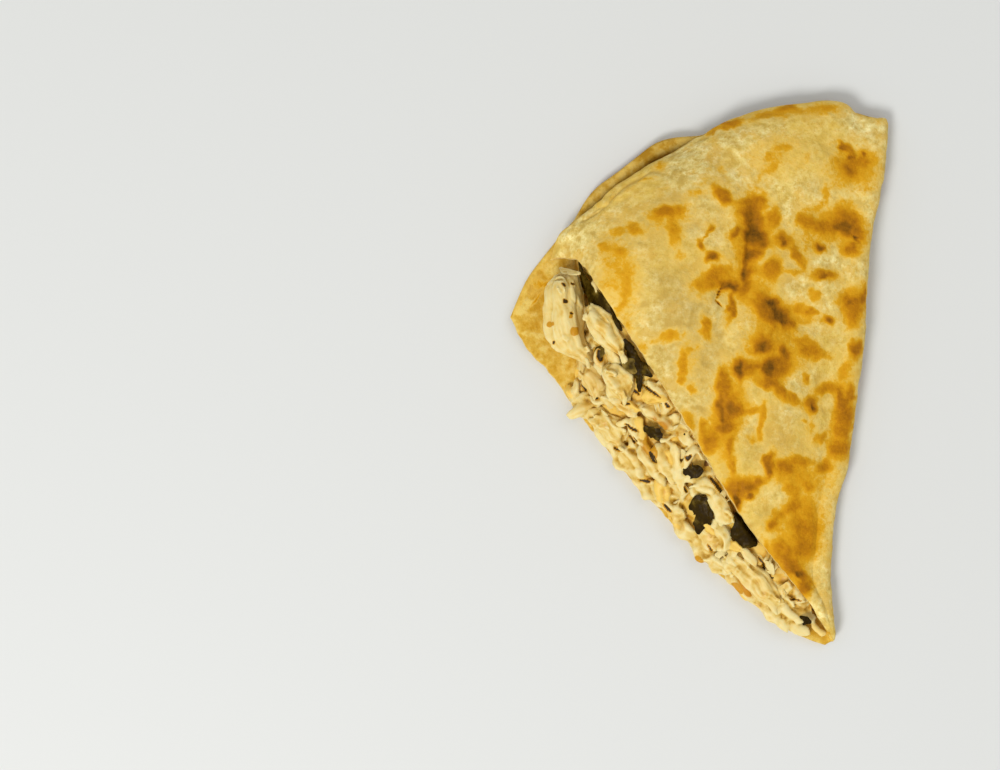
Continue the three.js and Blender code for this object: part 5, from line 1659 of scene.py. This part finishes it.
def strewTree(name):
    # strews the pieces of a collection over a surface: turned and sized at random, then made real
    tree = bpy.data.node_groups.new(name, "GeometryNodeTree")
    made = {}
    for label, form in (
        ("Surface", "NodeSocketGeometry"), ("Kinds", "NodeSocketCollection"), ("Spacing", "NodeSocketFloat"),
        ("Density", "NodeSocketFloat"), ("Smallest", "NodeSocketFloat"), ("Largest", "NodeSocketFloat"),
        ("Tilt", "NodeSocketFloat"), ("Seed", "NodeSocketInt"), ("Finish", "NodeSocketMaterial"),
    ):
        made[label] = tree.interface.new_socket(name=label, in_out="INPUT", socket_type=form).identifier
    tree.interface.new_socket(name="Result", in_out="OUTPUT", socket_type="NodeSocketGeometry")
    given = tree.nodes.new("NodeGroupInput").outputs
    bare = addStep(tree, "GeometryNodeInputNamedAttribute", {"data_type": "FLOAT"}, {"Name": "bare"})
    spots = addStep(tree, "GeometryNodeDistributePointsOnFaces", {"distribute_method": "POISSON"}, {
        "Mesh": given["Surface"], "Distance Min": given["Spacing"], "Density Max": given["Density"],
        "Seed": given["Seed"], "Density Factor": bare["Attribute"],
    })
    kinds = addStep(tree, "GeometryNodeCollectionInfo", {}, {
        "Collection": given["Kinds"], "Separate Children": True, "Reset Children": True,
    })
    size = addStep(tree, "FunctionNodeRandomValue", {"data_type": "FLOAT"}, {
        2: given["Smallest"], 3: given["Largest"], "Seed": given["Seed"],
    })
    back = addMath(tree, "MULTIPLY", given["Tilt"], -1)
    lowTurn = addStep(tree, "ShaderNodeCombineXYZ", {}, {"X": back, "Y": back})
    highTurn = addStep(tree, "ShaderNodeCombineXYZ", {}, {
        "X": given["Tilt"], "Y": given["Tilt"], "Z": 2 * math.pi,
    })
    turn = addStep(tree, "FunctionNodeRandomValue", {"data_type": "FLOAT_VECTOR"}, {
        0: lowTurn[0], 1: highTurn[0], "Seed": given["Seed"],
    })
    spin = addStep(tree, "FunctionNodeRotateRotation", {"rotation_space": "LOCAL"}, {
        "Rotation": spots["Rotation"], "Rotate By": turn[0],
    })
    place = addStep(tree, "GeometryNodeInstanceOnPoints", {}, {
        "Points": spots["Points"], "Instance": kinds[0], "Pick Instance": True, "Rotation": spin[0],
        "Scale": size[1],
    })
    shade = addStep(tree, "FunctionNodeRandomValue", {"data_type": "FLOAT"}, {2: -0.6, 3: 0.6})
    tinted = addStep(tree, "GeometryNodeStoreNamedAttribute", {"data_type": "FLOAT", "domain": "INSTANCE"}, {
        "Geometry": place[0], "Name": "tint", "Value": shade[1],
    })
    real = addStep(tree, "GeometryNodeRealizeInstances", {}, {0: tinted[0]})
    finish = addStep(tree, "GeometryNodeSetMaterial", {}, {"Geometry": real[0], "Material": given["Finish"]})
    tree.links.new(finish[0], tree.nodes.new("NodeGroupOutput").inputs[0])
    return tree, made


def strewOver(name, surface, spec, material):
    # the strewn pieces as one plain mesh
    kinds = smallKinds(spec["kinds"])
    tree, sockets = strewTree(name + "Tree")
    shelf = bpy.data.collections.new(name + "Kinds")
    for kind in kinds:
        shelf.objects.link(kind)
        bpy.context.scene.collection.objects.unlink(kind)
    modifier = surface.modifiers.new("strew", "NODES")
    modifier.node_group = tree
    for label, value in (
        ("Kinds", shelf), ("Spacing", spec["spacing"] * mm), ("Density", spec["density"]),
        ("Smallest", spec["smallest"]), ("Largest", spec["largest"]), ("Tilt", math.radians(spec["tilt"])),
        ("Seed", spec["seed"]), ("Finish", material),
    ):
        modifier[sockets[label]] = value
    mesh = bpy.data.meshes.new_from_object(surface.evaluated_get(bpy.context.evaluated_depsgraph_get()))
    surface.modifiers.remove(modifier)
    for kind in kinds:
        bpy.data.objects.remove(kind)
    bpy.data.collections.remove(shelf)
    print(name, len(mesh.polygons), "faces")
    return mesh


def pointValues(mesh, label, width):
    data = np.zeros(len(mesh.vertices) * width, np.float32)
    layer = mesh.attributes.get(label)
    if layer:
        layer.data.foreach_get("vector" if width == 3 else "value", data)
    return data.reshape(-1, width) if width == 3 else data


def backFromFrame(points):
    return points - np.array([sheet["shift"][0], sheet["shift"][1], 0])


def strewnPiece(name, material):
    # strewn bits that stay loose on the bed
    mesh = strewOver(name, openFace, strewn[name], material)
    points = meshArrays(mesh)[0] + np.array([0, 0, strewn[name]["lift"]])
    points = pressBetween(backFromFrame(points))
    mesh.vertices.foreach_set("co", (moved(points) * mm).astype(np.float32).ravel())
    mesh.update()
    return dressed(inScene(name, mesh), material, [])


def clearOfLeaves(points):
    # 1 where no leaf lies, 0 over one
    clear = np.ones(len(points))
    for band in leaves["bands"].values():
        data = np.array(band["run"])
        at = np.linspace(0, len(data) - 1, 8 * len(data))
        x, y, half = (np.interp(at, np.arange(len(data)), data[:, i]) for i in range(3))
        gap = np.hypot(points[:, :1] - x, points[:, 1:2] - y) - half
        clear[gap.min(axis=1) < strewn["leafGap"]] = 0
    return clear


def patchSurface(patch):
    rows, columns = patch.shape[:2]
    faces = []
    for i in range(rows - 1):
        for k in range(columns - 1):
            a = i * columns + k
            faces.append((a, a + columns, a + columns + 1, a + 1))
    points = patch.reshape(-1, 3)
    surface = meshFrom("openFace", moved(points), faces, {"bare": clearOfLeaves(points)})
    if surface.data.polygons[len(faces) // 2].normal.z < 0:
        surface.data.flip_normals()
    return surface


def smallKinds(family):
    # a few kinds of one small piece, for the tree to pick from
    pick = random.Random(family["seed"])
    kinds = []
    for i in range(family["count"]):
        spec = {
            "long": pick.uniform(*family["long"]), "wide": pick.uniform(*family["wide"]),
            "tall": pick.uniform(*family["tall"]), "bend": pick.uniform(-family["bend"], family["bend"]),
            "arch": pick.uniform(0, 0.5), "sides": (6, 6), "flakeSides": (6, 9), "bundles": 2,
            "curl": pick.uniform(0, 0.5), "torn": 0.4, "blunt": pick.uniform(2.5, 6),
        }
        points, faces = tornFlake(spec, pick) if family["flake"] else tornBundle(spec, pick)
        fibre = points * alongFibres + np.array([pick.uniform(-99, 99), 0, 0])
        kinds.append(meshFrom(family["name"] + str(i), points, faces, {"fibre": fibre}))
    return kinds


strewn = {
    "leafGap": 1.5,
    "strewnStrands": {
        "kinds": {
            "name": "strandKind", "count": 12, "seed": 301, "flake": False, "bend": 1.1,
            "long": (6.0, 10.5), "wide": (1.9, 3.2), "tall": (1.4, 2.2),
        },
        "spacing": 3.6, "density": 300000, "smallest": 0.75, "largest": 1.25, "tilt": 18,
        "seed": 4, "lift": -0.1,
    },
    "strewnFlaps": {
        "kinds": {
            "name": "flapKind", "count": 10, "seed": 304, "flake": True, "bend": 0.8,
            "long": (4.2, 7.6), "wide": (2.4, 4.2), "tall": (1.0, 1.3),
        },
        "spacing": 5.4, "density": 200000, "smallest": 0.75, "largest": 1.3, "tilt": 26,
        "seed": 6, "lift": 0.7,
    },
    "looseFlakes": {
        "kinds": {
            "name": "flakeKind", "count": 12, "seed": 302, "flake": True, "bend": 0.5,
            "long": (3.0, 6.4), "wide": (1.4, 3.2), "tall": (0.4, 0.6),
        },
        "spacing": 7.0, "density": 150000, "smallest": 0.7, "largest": 1.2, "tilt": 26,
        "seed": 9, "lift": 1.2,
    },
    "meatThreads": {
        "kinds": {
            "name": "threadKind", "count": 8, "seed": 305, "flake": False, "bend": 0.5,
            "long": (2.4, 5.0), "wide": (0.4, 0.7), "tall": (0.35, 0.55),
        },
        "spacing": 7.5, "density": 120000, "smallest": 0.7, "largest": 1.3, "tilt": 30,
        "seed": 17, "lift": 1.4,
    },
    "spinachCrumbs": {
        "kinds": {
            "name": "crumbKind", "count": 4, "seed": 303, "flake": False, "bend": 0.5,
            "long": (0.5, 0.9), "wide": (0.4, 0.6), "tall": (0.3, 0.5),
        },
        "spacing": 4.2, "density": 60000, "smallest": 0.5, "largest": 1.2, "tilt": 60,
        "seed": 14, "lift": 1.9,
    },
}

bedPile = newPile()
points, faces, openPatch = buildCore(bed["strip"])
addTo(bedPile, points, faces, points * np.array([1, 0.4, 1]), bed["cheeseTint"])
openFace = patchSurface(openPatch)


def strewInto(pile, name):
    # strewn pieces that grow into the bed
    mesh = strewOver(name, openFace, strewn[name], cookedMeat)
    points = backFromFrame(meshArrays(mesh)[0]) + np.array([0, 0, strewn[name]["lift"]])
    faces = [tuple(side.vertices) for side in mesh.polygons]
    addTo(pile, points, faces, pointValues(mesh, "fibre", 3), 0)
    pile["tint"][-1] = pointValues(mesh, "tint", 1) * 0.8
    bpy.data.meshes.remove(mesh)


strewInto(bedPile, "strewnStrands")
strewInto(bedPile, "strewnFlaps")

pick = random.Random(bed["seed"])
shreds = list(bed["shreds"])
rim = bed["rim"]
for i in range(rim["count"]):
    at = mix(*rim["span"], (i + pick.uniform(0.2, 0.8)) / rim["count"])
    x, y = (float(v[0]) for v in planLine(sheet["lowerCut"], np.array([at])))
    near = pick.uniform(*rim["near"])
    sizes = [pick.uniform(*rim[label]) for label in ("long", "wide", "tall", "turn", "lift")]
    curve = pick.uniform(*rim["curve"])
    shreds.append((x + 0.75 * near, y + 0.65 * near, *sizes, rim["lean"], curve, pick.choice(rim["tints"])))
for rows, tint in ((bed["melted"], bed["cheeseTint"]), (bed["browned"], bed["brownTint"])):
    shreds += [row + (bed["lean"], 0.1, tint) for row in rows]
for x, y, long, wide, tall, turn, lift, lean, curve, tint in shreds:
    spec = {
        "x": x, "y": y, "long": long, "wide": wide, "tall": tall, "turn": turn, "lift": lift, "lean": lean,
        "bend": pick.uniform(-0.6, 0.6), "arch": curve, "bundles": pick.choice((2, 3, 4)), "sides": (9, 11),
        "torn": 0.34, "blunt": pick.uniform(3.5, 7), "tint": tint, "curl": pick.uniform(-0.2, 0.5),
    }
    addMeat(bedPile, spec, pick)
    if wide > 2.4 and lean > 0.5:
        addRags(bedPile, spec, pick, 2)
beddedShreds = grownTogether("beddedShreds", bedPile, bed["look"], bed["gaps"])
dressed(beddedShreds, cookedMeat, ["filling"])
print("bed of shreds")

strewnPiece("looseFlakes", cookedMeat)
strewnPiece("meatThreads", cookedMeat)
strewnPiece("spinachCrumbs", wiltedLeaf)
bpy.data.objects.remove(openFace)
print("strewn bits")


# floor, light and camera
studio = {
    "cameraHeight": 480,
    "cameraPlace": (-47.5, -2.7),
    "viewWidth": 240,  # width seen on the floor
    "sensor": 36,
    "sees": (0.01, 20),  # nearest and farthest, in metres
    "floorReach": 9000,
    "floorNear": srgb(211, 212, 209),
    "floorFarPaintedLight": srgb(250, 250, 249),
    "lights": {  # place and size in metres, power in watts
        "keyLight": ((-0.6, -0.75, 1.05), 0.5, 13.2),
        "fillLight": ((0.8, 0.7, 1.2), 1.2, 3),
    },
    "skyStrength": 0.6,
}


def makeFloor(spec):
    reach = spec["floorReach"]
    floor = meshFrom(
        "studioFloor",
        [(-reach, -reach, 0), (reach, -reach, 0), (reach, reach, 0), (-reach, reach, 0)],
        [(0, 1, 2, 3)],
    )
    # it pales with distance, a painted brightening where less lamp light reaches, so that its far edge meets
    # the sky softly
    material, tree, shader = newMaterial("paleFloor")
    distance = tree.nodes.new("ShaderNodeVectorMath")
    distance.operation = "LENGTH"
    tree.links.new(objectPlace(tree), distance.inputs[0])
    away = addMath(tree, "MULTIPLY", distance.outputs["Value"], 0.3)
    colour = addRamp(tree, away, [(0.15, spec["floorNear"]), (0.9, spec["floorFarPaintedLight"])])
    tree.links.new(colour, shader.inputs["Base Color"])
    shader.inputs["Roughness"].default_value = 0.6
    floor.data.materials.append(material)


def addAreaLight(name, place, size, power):
    data = bpy.data.lights.new(name, "AREA")
    data.shape = "DISK"
    data.size = size
    data.energy = power
    lamp = inScene(name, data)
    lamp.location = place
    lamp.rotation_euler = (-Vector(place)).to_track_quat("-Z", "Y").to_euler()


def makeCamera(spec):
    data = bpy.data.cameras.new("overheadCamera")
    data.sensor_width = spec["sensor"]
    data.lens = spec["sensor"] * spec["cameraHeight"] / spec["viewWidth"]
    data.clip_start, data.clip_end = spec["sees"]
    camera = inScene("overheadCamera", data)
    x, y = spec["cameraPlace"]
    camera.location = (x * mm, y * mm, spec["cameraHeight"] * mm)
    bpy.context.scene.camera = camera


def makeSky(spec):
    world = bpy.data.worlds.new("studioSky")
    world.use_nodes = True
    background = world.node_tree.nodes["Background"].inputs
    background["Color"].default_value = (1, 1, 1, 1)
    background["Strength"].default_value = spec["skyStrength"]
    bpy.context.scene.world = world


makeFloor(studio)
for lightName, (place, size, power) in studio["lights"].items():
    addAreaLight(lightName, place, size, power)
makeSky(studio)
bpy.context.scene.view_settings.view_transform = "Standard"
makeCamera(studio)
print("studio")
